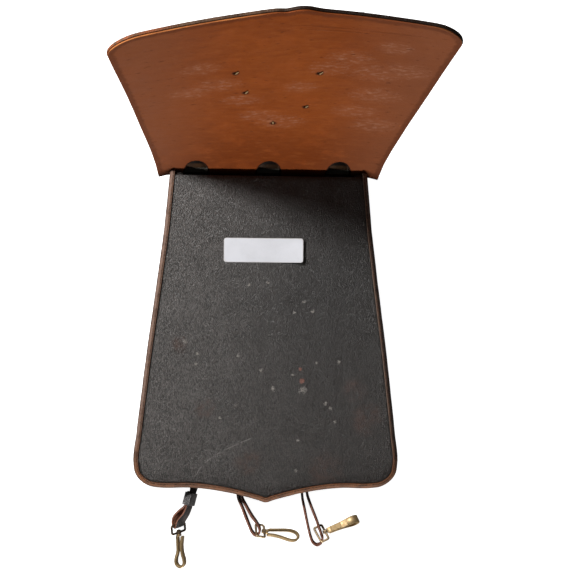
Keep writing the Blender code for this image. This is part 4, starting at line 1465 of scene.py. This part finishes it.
def lining_leather(groups):
    """Smooth tan leather, rubbed and stained. Painted shade darkens it towards the hinge, along its
    creases, below the hinge line and round the notches; a painted highlight lightens its cut edge
    at the left.
    """
    look = Finish(groups, "tan_lining_leather", 0.55, specular=0.05, flat=True)
    across, up, rim = look.attribute("across"), look.attribute("up"), look.attribute("rim")
    broad = look.patches(7.0, 0.5, 0.22)
    colour = look.mix(broad, (0.25, 0.055, 0.0095), (0.32, 0.077, 0.0145))
    # Painted shade: the lining is darker towards the hinge, where the pouch's front shades it.
    painted_hinge_shade = look.ranged(up, 0.14, 0.02, 0.0, 1.0)
    colour = look.mix(painted_hinge_shade, colour, (0.19, 0.04, 0.0065))
    streaks = look.noise(1.0, 6.0, look.stretched((60.0, 170.0, 170.0)), 0.62)
    colour = look.mix(look.ranged(streaks, 0.48, 0.75, 0.0, 0.36), colour, (0.15, 0.034, 0.009))
    colour = look.mix(look.ranged(streaks, 0.5, 0.27, 0.0, 0.3), colour, (0.4, 0.12, 0.03))
    clouds = look.patches(34.0, 0.42, 0.1)
    colour = look.tinted(colour, clouds, 0.35, (0.38, 0.088, 0.017))
    far_side = look.maths("ABSOLUTE", across)
    ashen = look.ranged(far_side, 0.03, 0.13, 0.0, 0.75)
    colour = look.mix(ashen, colour, (0.24, 0.084, 0.04))
    flecks = look.noise(1.0, 5.0, look.stretched((130.0, 270.0, 270.0)), 0.66)
    blooms = []
    for *place, reach in BLOOM_PLACES:
        size = {"Long": reach * 1.9 * MM, "Wide": reach * 1.2 * MM}
        blooms.append(look.use("line", "Mask", Centre=on_flap(*place), Ragged=1.0, **size))
    bloom = look.strongest(blooms)
    colour = look.tinted(colour, bloom, 0.12, (0.4, 0.17, 0.098))
    bloom = look.maths("MULTIPLY", bloom, look.ranged(flecks, 0.47, 0.7))
    colour = look.tinted(colour, bloom, 0.62, (0.45, 0.21, 0.13))
    dark_flecks = look.noise(1.0, 4.0, look.stretched((110.0, 260.0, 260.0)))
    dark_flecks = look.ranged(dark_flecks, 0.62, 0.72)
    colour = look.tinted(colour, dark_flecks, 0.6, (0.09, 0.02, 0.006))
    lines = [look.line(on_flap(*start), on_flap(*end), 1.6, 0.5) for start, end in FLAP_CREASES]
    crease = look.strongest(lines)
    # Painted shade: the lining is darker along the creases.
    colour = look.tinted(colour, crease, 0.22, (0.1, 0.024, 0.008))
    for *place, _ in PRONGS:
        stain = look.spot(on_flap(*place), 4.5, 0.7)
        colour = look.tinted(colour, stain, 0.85, (0.04, 0.012, 0.006))
    near_rim = look.edge_wear(rim, 7.0, 0.8)
    colour = look.tinted(colour, near_rim, 0.5, (0.09, 0.024, 0.01))
    # Painted highlight: the cut edge is painted lighter at the left, where the light falls on it,
    # and also at the far right corner.
    cut = look.edge_wear(rim, 0.65, 0.7)
    to_left = look.ranged(across, 0.0, -0.05, 0.0, 1.0)
    at_corner = look.ranged(across, 0.11, 0.14, 0.0, 0.5)
    shown = look.maths("MAXIMUM", to_left, at_corner)
    shown = look.maths("MULTIPLY", shown, look.ranged(look.noise(45.0), 0.35, 0.55, 0.35, 1.0))
    colour = look.tinted(colour, cut, shown, (0.4, 0.14, 0.042))
    # Painted shade: near black below the hinge line and round the notches, where the lining lies in
    # shade.
    foot = look.ranged(up, -0.0016, -0.0026)
    for number in range(len(NOTCH_CENTRES)):
        distance = look.attribute(f"notch_{number}")
        foot = look.maths("MAXIMUM", foot, look.ranged(distance, 1.9, 1.1, 0.0, 0.9))
    colour = look.mix(foot, colour, (0.008, 0.005, 0.004))
    height = look.use("grain", "Height", Cells=1100.0)
    normal = look.bump(look.noise(30.0), 0.0014, 0.7)
    normal = look.bump(streaks, 0.0003, 0.7, normal)
    normal = look.bump(crease, 0.0005, 0.7, normal)
    normal = look.bump(height, 0.00012, 0.6, normal)
    rough = look.ranged(look.noise(50.0, 5.0), 0.3, 0.75, 0.5, 0.7)
    return look.done(colour, rough, normal)


def welt_leather(groups):
    """Raw cut edge, rubbed brown and ridged across, with small pits where the thread goes in.
    Painted light: the outer slope is lighter at the left, where the light falls, the right slope is
    lightened as painted fill light, and a painted highlight runs along the inner ridge.
    """
    look = Finish(groups, "raw_welt_leather", 0.6, specular=0.2)
    mark, run = look.attribute("mark"), look.attribute("run")
    wander = look.maths("MULTIPLY", look.maths("SUBTRACT", look.noise(170.0, 4.0), 0.5), 3.4)
    mark = look.maths("ADD", mark, wander)
    side = look.along("X")
    to_left = look.ranged(side, 0.02, -0.06)
    along = add_node(look.tree, "ShaderNodeCombineXYZ", {"X": run, "Y": mark}).outputs[0]
    ridges = look.noise(0.8, 3.0, along)
    foot = look.along("Y")
    at_foot = look.ranged(foot, -0.11, -0.16)
    dull = look.mix(look.ranged(ridges, 0.3, 0.7), (0.09, 0.055, 0.042), (0.2, 0.125, 0.094))
    warm = look.mix(look.ranged(ridges, 0.3, 0.7), (0.13, 0.047, 0.02), (0.33, 0.135, 0.06))
    tan = look.mix(at_foot, dull, warm)
    # Painted light: the outer slope is lighter at the left, where the light falls; the right one is
    # lightened as painted fill light.
    right_slope_painted_fill = look.mix(at_foot, (0.19, 0.125, 0.095), (0.2, 0.09, 0.045))
    left_slope_painted_light = look.mix(at_foot, (0.24, 0.155, 0.122), (0.2, 0.092, 0.046))
    slope = look.mix(to_left, right_slope_painted_fill, left_slope_painted_light)
    outer = look.ranged(mark, 5.6, 4.2)
    colour = look.mix(outer, tan, slope)
    colour = look.mix(look.ranged(mark, 3.2, 1.8), colour, (0.06, 0.028, 0.017))
    patches = look.patches(80.0, 0.45, 0.07)
    colour = look.tinted(colour, patches, 0.6, (0.06, 0.03, 0.02))
    specks = look.patches(420.0, 0.38, 0.05)
    colour = look.tinted(colour, specks, 0.5, (0.03, 0.016, 0.011))
    # Painted highlight along the inner ridge, where it faces up to the light.
    lip = look.maths("MULTIPLY", look.ranged(mark, 8.8, 10.0), look.ranged(mark, 12.6, 11.4))
    pale = look.mix(at_foot, (0.22, 0.16, 0.13), (0.2, 0.085, 0.042))
    pale = look.mix(to_left, pale, (0.17, 0.1, 0.07))
    colour = look.tinted(colour, lip, 0.6, pale)
    groove = look.maths("MULTIPLY", look.ranged(mark, 6.2, 7.2), look.ranged(mark, 9.6, 8.6))
    wave = look.maths("SINE", look.maths("MULTIPLY", run, 2.0 * math.pi / STITCH_PITCH))
    pits = look.maths("MULTIPLY", groove, look.ranged(wave, 0.1, 0.9, 0.2, 1.0))
    colour = look.tinted(colour, pits, 0.6, (0.02, 0.01, 0.007))
    normal = look.bump(ridges, 0.0009, 0.9)
    normal = look.bump(look.noise(700.0), 0.0003, 0.6, normal)
    return look.done(colour, look.ranged(ridges, 0.3, 0.7, 0.45, 0.7), normal)


def strap_leather(groups):
    """Black grain side, brown flesh side and a pale worn cut edge."""
    look = Finish(groups, "strap_leather", 0.5, specular=0.4)
    flesh = look.attribute("mark")
    from_hinge = look.along("Y")
    far = look.ranged(from_hinge, -0.18, -0.196)
    patch = look.patches(60.0, 0.45, 0.1)
    grain_side = look.mix(patch, (0.03, 0.027, 0.028), (0.075, 0.062, 0.06))
    fibres = look.noise(1.0, 5.0, look.stretched((500.0, 180.0, 300.0)))
    near_brown = look.mix(patch, (0.06, 0.026, 0.015), (0.13, 0.058, 0.033))
    far_brown = look.mix(look.ranged(fibres, 0.35, 0.65), (0.2, 0.078, 0.045), (0.42, 0.185, 0.115))
    flesh_side = look.mix(far, near_brown, far_brown)
    colour = look.mix(look.ranged(flesh, 0.2, 0.8), grain_side, flesh_side)
    side = look.along("X")
    redder = look.maths("MULTIPLY", far, look.ranged(side, -0.07, -0.05))
    colour = look.tinted(colour, redder, 0.85, (0.19, 0.07, 0.042))
    cut_edge = look.ranged(look.maths("ABSOLUTE", look.maths("SUBTRACT", flesh, 0.5)), 0.49, 0.3)
    edge_tan = look.mix(far, (0.022, 0.014, 0.011), (0.25, 0.1, 0.062))
    colour = look.tinted(colour, cut_edge, 0.9, edge_tan)
    height = look.use("grain", "Height", Cells=1100.0)
    normal = look.bump(look.noise(120.0), 0.0006, 0.6)
    normal = look.bump(height, 0.00022, 0.8, normal)
    return look.done(colour, look.ranged(fibres, 0.3, 0.7, 0.38, 0.66), normal)


def lip_leather(groups):
    """The ring tabs' black leather, in the shade of the hinge: painted shade behind the notch's
    arch and below the hinge line, with a painted highlight on the lip between them.
    """
    look = Finish(groups, "tab_leather", 0.7, specular=0.05)
    patch = look.patches(70.0, 0.5, 0.15)
    colour = look.mix(patch, (0.014, 0.007, 0.0035), (0.034, 0.016, 0.007))
    from_hinge = look.along("Y")
    start = HINGE_PLACE.y - 0.0024
    # Painted shade: near black further back, where the notch's arch shades the tab.
    behind = look.ranged(from_hinge, start + 0.0085, start + 0.01)
    colour = look.mix(behind, colour, (0.004, 0.0025, 0.002))
    # Painted highlight: a lighter grey band on the tab's lip.
    lip = look.maths(
        "MULTIPLY",
        look.ranged(from_hinge, start + 0.0002, start + 0.001),
        look.ranged(from_hinge, start + 0.0056, start + 0.0044),
    )
    colour = look.mix(lip, colour, (0.075, 0.069, 0.057))
    # Painted shade: near black below the hinge line.
    below = look.ranged(from_hinge, start + 0.0004, start - 0.0004)
    colour = look.mix(below, colour, (0.006, 0.005, 0.004))
    from_middle = look.maths("SUBTRACT", look.attribute("mark"), 0.5)
    edge = look.ranged(look.maths("ABSOLUTE", from_middle), 0.3, 0.1)
    colour = look.tinted(colour, edge, 0.6, (0.1, 0.055, 0.035))
    normal = look.bump(look.noise(160.0), 0.0006, 0.7)
    return look.done(colour, look.ranged(look.noise(90.0), 0.3, 0.7, 0.5, 0.7), normal)


def label_paper(groups):
    look = Finish(groups, "label_paper", 0.85, specular=0.2)
    cloud = look.patches(60.0, 0.45, 0.25)
    colour = look.mix(cloud, (0.66, 0.68, 0.735), (0.6, 0.62, 0.665))
    fibres = look.noise(1.0, 4.0, look.stretched((900.0, 300.0, 500.0)))
    colour = look.mix(look.ranged(fibres, 0.62, 0.75, 0.0, 0.3), colour, (0.6, 0.6, 0.6))
    worn = look.edge_wear(look.attribute("rim"), 1.2, 0.8)
    colour = look.tinted(colour, worn, 0.35, (0.5, 0.46, 0.42))
    normal = look.bump(fibres, 0.00008, 0.5)
    return look.done(colour, None, normal)


def aged_brass(groups):
    """Dull olive brass, rubbed brighter in places."""
    look = Finish(groups, "aged_brass", 0.5)
    tarnish = look.patches(65.0, 0.52, 0.3)
    colour = look.mix(tarnish, (0.6, 0.43, 0.23), (0.36, 0.25, 0.12))
    spots = look.patches(420.0, 0.3, 0.05)
    colour = look.tinted(colour, spots, 0.35, (0.11, 0.072, 0.038))
    scratches = look.noise(1.0, 4.0, look.stretched((1500.0, 300.0, 900.0)))
    normal = look.bump(scratches, 0.00006, 0.6)
    normal = look.bump(look.noise(260.0), 0.0002, 0.4, normal)
    rough = look.ranged(look.noise(300.0, 4.0), 0.3, 0.7, 0.38, 0.58)
    metal = look.ranged(tarnish, 0.0, 1.0, 0.8, 0.55)
    return look.done(colour, rough, normal, metal)


def dark_wire(groups):
    look = Finish(groups, "darkened_wire", 0.45, metallic=0.7)
    side = look.along("X")
    handled = look.ranged(side, -0.03, -0.004, 0.12, 1.0)
    rubbed = look.patches(110.0, 0.62, 0.12)
    rubbed = look.maths("MULTIPLY", rubbed, handled)
    colour = look.mix(rubbed, (0.075, 0.05, 0.034), (0.5, 0.37, 0.22))
    spots = look.patches(500.0, 0.4, 0.06)
    colour = look.tinted(colour, spots, 0.4, (0.05, 0.032, 0.02))
    normal = look.bump(look.noise(500.0, 4.0), 0.00015, 0.6)
    rough = look.ranged(look.noise(300.0, 4.0), 0.3, 0.7, 0.3, 0.58)
    return look.done(colour, rough, normal)


def waxed_thread(groups):
    look = Finish(groups, "waxed_thread", 0.6, specular=0.3)
    worn = look.patches(200.0, 0.5, 0.1)
    colour = look.mix(worn, (0.035, 0.017, 0.01), (0.16, 0.075, 0.035))
    slanted = look.stretched((1.0, 1.0, 1.0), (0.0, 0.0, 0.8))
    inputs = {"Vector": slanted, "Scale": 900.0, "Distortion": 1.0}
    twist = add_node(look.tree, "ShaderNodeTexWave", inputs)
    return look.done(colour, None, look.bump(twist.outputs["Fac"], 0.0001, 0.7))


def pale_floor():
    """A pale table top that the camera sees almost without shadows."""
    look = Finish({}, "pale_floor", 0.9, specular=0.0)
    soft = look.noise(3.0)
    seen = look.mix(look.ranged(soft, 0.3, 0.7), (0.84, 0.84, 0.84), (0.86, 0.86, 0.86))
    direct = add_node(look.tree, "ShaderNodeLightPath").outputs["Is Camera Ray"]
    colour = look.mix(direct, (0.35, 0.35, 0.35), seen)
    glow = look.mix(direct, (0.0, 0.0, 0.0), (0.985, 0.985, 0.985))
    look.tree.links.new(glow, look.shader.inputs["Emission Color"])
    look.shader.inputs["Emission Strength"].default_value = 1.0
    return look.done(colour)


def make_finishes():
    groups = {
        "grain": grain_group(),
        "patch": patch_group(),
        "scuff": scuff_group(),
        "edge": worn_edge_group(),
        "line": long_scuff_group(),
    }
    return {
        "pebbled": pebbled_leather(groups),
        "black": black_leather(groups),
        "flap": flap_leather(groups),
        "lining": lining_leather(groups),
        "welt": welt_leather(groups),
        "strap": strap_leather(groups),
        "tab": lip_leather(groups),
        "keeper": keeper_leather(groups),
        "paper": label_paper(groups),
        "brass": aged_brass(groups),
        "wire": dark_wire(groups),
        "thread": waxed_thread(groups),
    }


# ---- the pouch


def add_front_panel(finishes):
    outline = inset_outline(pouch_line(FRONT_TOP_DOWN), WELT_WIDTH + GAP)
    outline = [tuple(point) for point in outline]
    bm = cut_sheet(outline, *(steps_between(*cuts) for cuts in FRONT_CUTS))
    mark_rim(bm, outline, closed=False)
    thicken(bm, FRONT_TOP - FRONT_BOTTOM)
    round_rims(bm, 0.5)
    rim = bm.verts.layers.float["rim"]
    for vert in bm.verts:
        x, y, z = vert.co
        sag = share(vert[rim], 0.0, PANEL_TAUT_EDGE) * waves(x, y, PANEL_WAVES)
        from_label = (Vector((x, y)) - Vector(LABEL_CENTRE)).length
        vert.co.z = FRONT_TOP + z + sag * share(from_label, 0.0, LABEL_CALM)
    add_piece("panel_front", bm, finishes["pebbled"], ["front_panel"])


def add_back_panel(finishes):
    outline = inset_outline(pouch_line(BACK_TOP_DOWN), BACK_INSET)
    outline = [tuple(point) for point in outline]
    bm = cut_sheet(outline, *(steps_between(*cuts) for cuts in BACK_CUTS))
    mark_rim(bm, outline, closed=False)
    thicken(bm, BACK_TOP - PANEL_CLEARANCE)
    round_rims(bm, 0.8)
    bmesh.ops.translate(bm, vec=(0.0, 0.0, BACK_TOP), verts=bm.verts)
    add_piece("panel_back", bm, finishes["black"], ["back_panel"])


def add_gusset(finishes):
    sections = edge_sections(pouch_line(GUSSET_TOP_DOWN), GUSSET_SECTION)
    bm = sweep(sections)
    add_piece("gusset_wall", bm, finishes["black"], ["gusset", "gusset_flange"])


def add_welt(finishes):
    outline = pouch_line(WELT_TOP_DOWN)
    sections = edge_sections(outline, WELT_SECTION)
    for section in sections:
        place = section[0]
        for number, point in enumerate(section[:WELT_OPEN_POINTS]):
            wave = ripple(place.x, place.y, WELT_WAVE_SIZE, number * WELT_WAVE_SHIFT)
            point.z += WELT_WAVE_HEIGHT * wave
            inward = (Vector((0.0, POUCH_MIDDLE, point.z)) - point).normalized()
            if number < WELT_OUTER_POINTS:
                point += inward * max(0.0, waves(place.x, place.y, WELT_NICKS))
    marks = [float(number) for number in range(len(WELT_SECTION))]
    bm = sweep(sections, marks)
    add_piece("welt", bm, finishes["welt"], ["edge_welt"], smooth_angle=50.0)
    add_welt_stitches(outline, finishes)


def add_welt_stitches(outline, finishes):
    """Waxed thread in the welt's groove, a stitch at a time."""
    inset, level = STITCH_PLACE
    line = inset_outline(outline, inset)
    parts = []
    carried = STITCH_PITCH * STITCH_START
    for start, end in zip(line, line[1:]):
        length = (end - start).length
        while carried < length:
            place = start.lerp(end, carried / length)
            along = (end - start).normalized()
            angle = math.atan2(along.y, along.x) + STITCH_SLANT
            matrix = Matrix.Translation((place.x, place.y, level)) @ Matrix.Rotation(angle, 4, "Z")
            size = Matrix.Diagonal((*STITCH_HALF_SIZE, 1.0))
            bm = bmesh.new()
            bmesh.ops.create_uvsphere(bm, u_segments=6, v_segments=4, radius=1.0)
            turn = Matrix.Rotation(math.radians(90.0), 4, "Y")
            parts.append(placed(bm, matrix @ size @ turn))
            carried += STITCH_PITCH
        carried -= length
    bm = joined(*parts)
    add_piece("welt_stitches", bm, finishes["thread"], [], smooth_angle=60.0)


def add_label(finishes):
    """A paper slip stuck on the front, lifting a little at its right end."""
    half_wide, half_high = LABEL_WIDTH / 2, LABEL_HEIGHT / 2
    points = rounded_rectangle(half_wide, half_high, LABEL_CORNER, 6)
    outline = [tuple(Vector(LABEL_CENTRE) + point) for point, _ in points]
    centre_x, centre_y = LABEL_CENTRE
    across = steps_between(centre_x - half_wide, centre_x + half_wide, LABEL_CUT)
    ups = steps_between(centre_y - half_high, centre_y + half_high, LABEL_CUT)
    bm = cut_sheet(outline, across, ups)
    mark_rim(bm, outline)
    thicken(bm, LABEL_THICKNESS)
    for vert in bm.verts:
        x, y, z = vert.co
        lift = LABEL_LIFT * max(0.0, (x - centre_x) / half_wide - LABEL_STUCK) ** 2
        lift += waves(x, y, LABEL_WAVES)
        vert.co.z = FRONT_TOP + LABEL_GLUE + LABEL_THICKNESS + z + lift
    add_piece("label", bm, finishes["paper"], ["paper_label"])


# ---- the cover flap


def flap_wave(across, up):
    """How far the old leather waves out of its even curve."""
    return share(up, 0.0, FLAP_WAVES_FROM) * waves(across, up, FLAP_WAVES)


def dented(across, up):
    """The far edge's place with its small dent and the crest beside it."""
    rise = 0.0
    for height, place, spread in EDGE_BUMPS:
        rise += height * math.exp(-(((across - place) / spread) ** 2))
    return up + share(up, EDGE_BUMPS_FROM, EDGE_BUMPS_OVER) ** 2 * rise


def flap_sheet(free_edge, hinge_edge, cuts, thickness, rounding):
    """One of the flap's two leathers, flat, with the prongs' holes and its free edge marked."""
    bm = cut_sheet(free_edge + hinge_edge, *cuts)
    for across, up, _ in PRONGS:
        punch_hole(bm, (across, up), PRONG_HOLE_RADIUS)
    thicken(bm, thickness)
    round_rims(bm, *rounding)
    mark_rim(bm, free_edge, closed=False)
    return bm


def add_flap(finishes):
    to_end, to_start, to_lip = fold_lengths()
    hinge_edge = [(-FOLD_END_HALF_WIDTH, -to_start), (-LIP_HALF_WIDTH, -to_start)]
    hinge_edge.append((-LIP_HALF_WIDTH, -to_lip))
    for _, centre in NOTCH_CENTRES:
        hinge_edge += notch_edge(centre, -to_lip)
    hinge_edge += [(LIP_HALF_WIDTH, -to_lip), (LIP_HALF_WIDTH, -to_start)]
    hinge_edge.append((FOLD_END_HALF_WIDTH, -to_start))
    across, ups = (steps_between(*cuts) for cuts in FLAP_CUTS)
    fold = to_start - to_end
    fold_cuts = [-to_start + fold * step / FOLD_CUTS for step in range(FOLD_CUTS + 1)]
    free_edge = flap_outline(0.0)
    bm = flap_sheet(free_edge, hinge_edge, (across, fold_cuts + ups), OUTER_THICKNESS, (0.7, 3))
    mark_flat(bm)
    for vert in bm.verts:
        x, up, z = vert.co
        vert.co = folded(x, dented(x, up), OUTER_FRONT + z + flap_wave(x, up))
    add_piece("cover_outer", bm, finishes["flap"], ["flap_outer"])
    free_edge = flap_outline(LINING_INSET)
    ear_outer = free_edge[0][0] - FLAP_GROWTH * EAR_DROP
    slant_end = EAR_INNER - EAR_SLANT
    lower_edge = [(-ear_outer, -EAR_DROP), (-EAR_INNER, -EAR_DROP), (-slant_end, -LINING_DROP)]
    notches = []
    for _, centre in NOTCH_CENTRES:
        notches.append(notch_edge(centre, -LINING_DROP))
        lower_edge += notches[-1]
    lower_edge += [(slant_end, -LINING_DROP), (EAR_INNER, -EAR_DROP), (ear_outer, -EAR_DROP)]
    cuts = (across, [-LINING_DROP / 2, *ups])
    bm = flap_sheet(free_edge, lower_edge, cuts, LINING_THICKNESS, (0.35, 2))
    for number, notch in enumerate(notches):
        mark_rim(bm, notch, closed=False, name=f"notch_{number}")
    mark_flat(bm)
    for vert in bm.verts:
        x, up, z = vert.co
        below = min(up, 0.0)
        hanging = Vector((0.0, math.cos(FLAP_LEAN), math.sin(FLAP_LEAN))) * below
        hanging.y -= LINING_FORWARD * max(0.0, 1.0 - max(up, 0.0) / NOTCH_HEIGHT)
        vert.co = folded(x, dented(x, max(up, 0.0)), z + flap_wave(x, up)) + hanging
    add_piece("cover_lining", bm, finishes["lining"], ["flap_lining"])


def add_prongs(finishes):
    """Flat brass prongs that come through the flap and are bent over on the lining."""
    over = GAP + PRONG_THICKNESS / 2
    rows = (
        # along the lining, out from it, how far the prong still points out
        (0.0, PRONG_ROOT, 90.0),
        (0.0, over - 0.5, 90.0),
        (0.15, over - 0.1, 45.0),
        (0.6, over, 0.0),
        (PRONG_REACH, over, 0.0),
    )
    profile = strip_profile(PRONG_WIDTH, PRONG_THICKNESS, 0.2)
    for index, (across, up, heading) in enumerate(PRONGS, start=1):
        angle = math.radians(heading)
        along = Vector((-math.sin(angle), math.cos(angle)))
        side = Vector((along.y, -along.x))
        sections = []
        for distance, depth, rise in rows:
            turn = math.radians(rise)
            corners = []
            for sideways, lift in profile:
                flat = Vector((across, up)) + side * sideways
                flat += along * (distance - lift * math.sin(turn))
                deep = depth + lift * math.cos(turn) + flap_wave(across, up)
                corners.append(folded(flat.x, flat.y, deep))
            sections.append(corners)
        bm = sweep(sections)
        add_piece(f"badge_prong_{index}", bm, finishes["brass"], [f"prong_{index}"])


# ---- rings, tabs and slings


def add_ring_tabs(finishes):
    near_y, near_z = RING_NEAR
    turn_radius = RING_WIRE + GAP + TAB_THICKNESS / 2
    low, high = near_z - turn_radius, near_z + turn_radius
    rows = [(y, low) for y in TAB_BELOW]
    for step in range(7):
        angle = math.radians(-90.0 + 30.0 * step)
        out, rise = turn_radius * math.cos(angle), turn_radius * math.sin(angle)
        rows.append((near_y + out, near_z + rise))
    rows += [(y, high + higher) for y, higher in TAB_ABOVE]
    profile = strip_profile(TAB_WIDTH, TAB_THICKNESS, 0.5, 0.25)
    marks = [0.0 if through > 0.0 else 1.0 for _, through in profile]
    wide = Vector((1.0, 0.0, 0.0))
    for side, across in NOTCH_CENTRES:
        route = [(Vector((across, y, z)), wide) for y, z in smooth_rows(rows, 4)]
        bm = sweep(strip_sections(route, profile), marks)
        for vert in bm.verts:
            flare = TAB_FLARE * share(-vert.co.y, -TAB_FLARE_FROM, TAB_FLARE_OVER)
            if vert.co.z < near_z - 1.0:
                vert.co.x += flare * (1.0 if vert.co.x > across else -1.0)
        name = f"tab_{side}"
        add_piece(name, bm, finishes["tab"], [f"ring_tab_{side}"])


def add_rings(finishes):
    near, far = Vector((0.0, *RING_NEAR)), Vector((0.0, *RING_FAR))
    slope = (far - near).normalized()
    half_short = (far - near).length / 2
    for side, across in NOTCH_CENTRES:
        place = (near + far) / 2 + Vector((across, 0.0, 0.0))
        bm = loop_solid(RING_HALF_LONG, half_short, RING_CORNER, circle_section(RING_WIRE, 14))
        placed(bm, facing(Vector((1.0, 0.0, 0.0)), slope, place))
        add_piece(f"dee_{side}", bm, finishes["wire"], [f"ring_{side}"])


def add_slings(finishes):
    profile = strip_profile(SLING_WIDTH, SLING_THICKNESS, 0.45, 0.3)
    for side, _ in NOTCH_CENTRES:
        flesh_up = 1.0 if side == "left" else -1.0
        marks = [1.0 if through * flesh_up > 0.0 else 0.0 for _, through in profile]
        route = sling_route(side)
        sections = strip_sections(route, profile)
        bm = sweep(sections, marks)
        name = f"strap_{side}"
        add_piece(name, bm, finishes["strap"], [f"sling_{side}"])


def add_keeper(finishes):
    """A short leather sleeve round the left sling and its folded end, below the pouch's edge."""
    _, wide, through = keeper_axes()
    across, from_hinge, lift, lean = KEEPER_RUN[1]
    place = Vector((across, from_hinge, lift + resting_height(lean)))
    place += through * (SLING_THICKNESS + GAP) / 2
    half_long = SLING_WIDTH / 2 + KEEPER_MARGIN + KEEPER_WALL / 2
    half_short = SLING_THICKNESS + GAP / 2 + KEEPER_MARGIN + KEEPER_WALL / 2
    section = strip_profile(KEEPER_WALL, KEEPER_LENGTH, 0.3)
    bm = loop_solid(half_long, half_short, KEEPER_CORNER, section)
    placed(bm, facing(wide, through, place))
    add_piece("sling_keeper", bm, finishes["keeper"], ["keeper_left"])


def add_frames(finishes):
    half_short = FRAME_SHORT / 2
    for side in SLINGS:
        centre, bar, out, axis = frame_axes(side)
        wire = circle_section(FRAME_WIRE, 12)
        loop = loop_solid(FRAME_HALF_LONG, half_short, FRAME_CORNER, wire)
        placed(loop, facing(bar, out, centre - out * half_short))
        level = Vector((0.0, 0.0, 1.0)).cross(axis).normalized()
        boss = placed(turned(BOSS_PROFILE, 28, closed=True), facing(axis, level, centre))
        bm = joined(loop, boss)
        add_piece(f"swivel_frame_{side}", bm, finishes["wire"], [f"frame_{side}"])


def add_hooks(finishes):
    profile = strip_profile(HOOK_STRIP_WIDTH, HOOK_STRIP_THICKNESS, 0.45)
    for side in SLINGS:
        route = []
        rows = [*HAIRPINS[side][:-1], HAIRPIN_TIPS[side]]
        for along, sideways in smooth_rows(rows, 5):
            route.append((Vector((along, sideways, 0.0)), Vector((0.0, 0.0, 1.0))))
        centre, _, _, axis = frame_axes(side)
        level = Vector((0.0, 0.0, 1.0)).cross(axis).normalized()
        roll = Matrix.Rotation(math.radians(SLINGS[side][5]), 4, "X")
        matrix = facing(axis, level, centre) @ roll
        strip = sweep(strip_sections(route, profile))
        for vert in strip.verts:
            widened = share(vert.co.x, HOOK_SPREAD_FROM, HOOK_SPREAD_OVER)
            vert.co.z *= 1.0 + HOOK_SPREAD[side] * widened
        bm = placed(joined(strip, turned(SWIVEL_PROFILE, 28)), matrix)
        for vert in bm.verts:
            vert.co.z = max(vert.co.z, HOOK_LIFT)
        name, body = f"snap_{side}", f"{side}_snap_hook"
        add_piece(name, bm, finishes["brass"], [f"hook_{side}"], body)


# ---- camera, light and floor


def aimed(obj, place, target, up=Vector((0.0, 0.0, 1.0))):
    """Puts a light or the camera at a place and turns it to a target."""
    back = (Vector(place) - Vector(target)).normalized()
    right = up.cross(back).normalized()
    rows = Matrix((right, back.cross(right), back)).transposed().to_4x4()
    obj.matrix_world = Matrix.Translation(place) @ rows


def add_camera():
    data = bpy.data.cameras.new("camera")
    data.lens = LENS
    data.sensor_width = 36.0
    data.clip_end = 20.0
    camera = bpy.data.objects.new("camera", data)
    bpy.context.scene.collection.objects.link(camera)
    roll = math.radians(CAMERA_ROLL)
    up = Vector((math.sin(roll), math.cos(roll), 0.0))
    aimed(camera, CAMERA_PLACE, CAMERA_TARGET, up)
    bpy.context.scene.camera = camera


def add_light(name, place, target, size, energy, colour):
    data = bpy.data.lights.new(name, "AREA")
    data.shape = "DISK"
    data.size = size
    data.energy = energy
    data.color = colour
    light = bpy.data.objects.new(name, data)
    bpy.context.scene.collection.objects.link(light)
    aimed(light, place, HINGE_PLACE + Vector(target))


def add_studio():
    for name, settings in LIGHTS.items():
        add_light(name, *settings)
    world = bpy.data.worlds.new("studio")
    bpy.context.scene.world = world
    world.use_nodes = True
    background = world.node_tree.nodes["Background"]
    background.inputs["Color"].default_value = (1.0, 1.0, 1.0, 1.0)
    background.inputs["Strength"].default_value = STUDIO_GLOW
    bpy.context.scene.view_settings.view_transform = "Standard"
    bm = bmesh.new()
    bmesh.ops.create_grid(bm, x_segments=2, y_segments=2, size=FLOOR_HALF_SIZE)
    mesh = bpy.data.meshes.new("floor")
    bm.to_mesh(mesh)
    bm.free()
    mesh.materials.append(pale_floor())
    floor = bpy.data.objects.new("floor", mesh)
    bpy.context.scene.collection.objects.link(floor)
    floor.location.z = CAD_BOX[0][2] - FLOOR_BELOW


def build():
    add_camera()
    add_studio()
    finishes = make_finishes()
    add_front_panel(finishes)
    add_back_panel(finishes)
    add_gusset(finishes)
    add_welt(finishes)
    add_label(finishes)
    add_flap(finishes)
    add_prongs(finishes)
    add_ring_tabs(finishes)
    add_rings(finishes)
    add_slings(finishes)
    add_keeper(finishes)
    add_frames(finishes)
    add_hooks(finishes)


build()
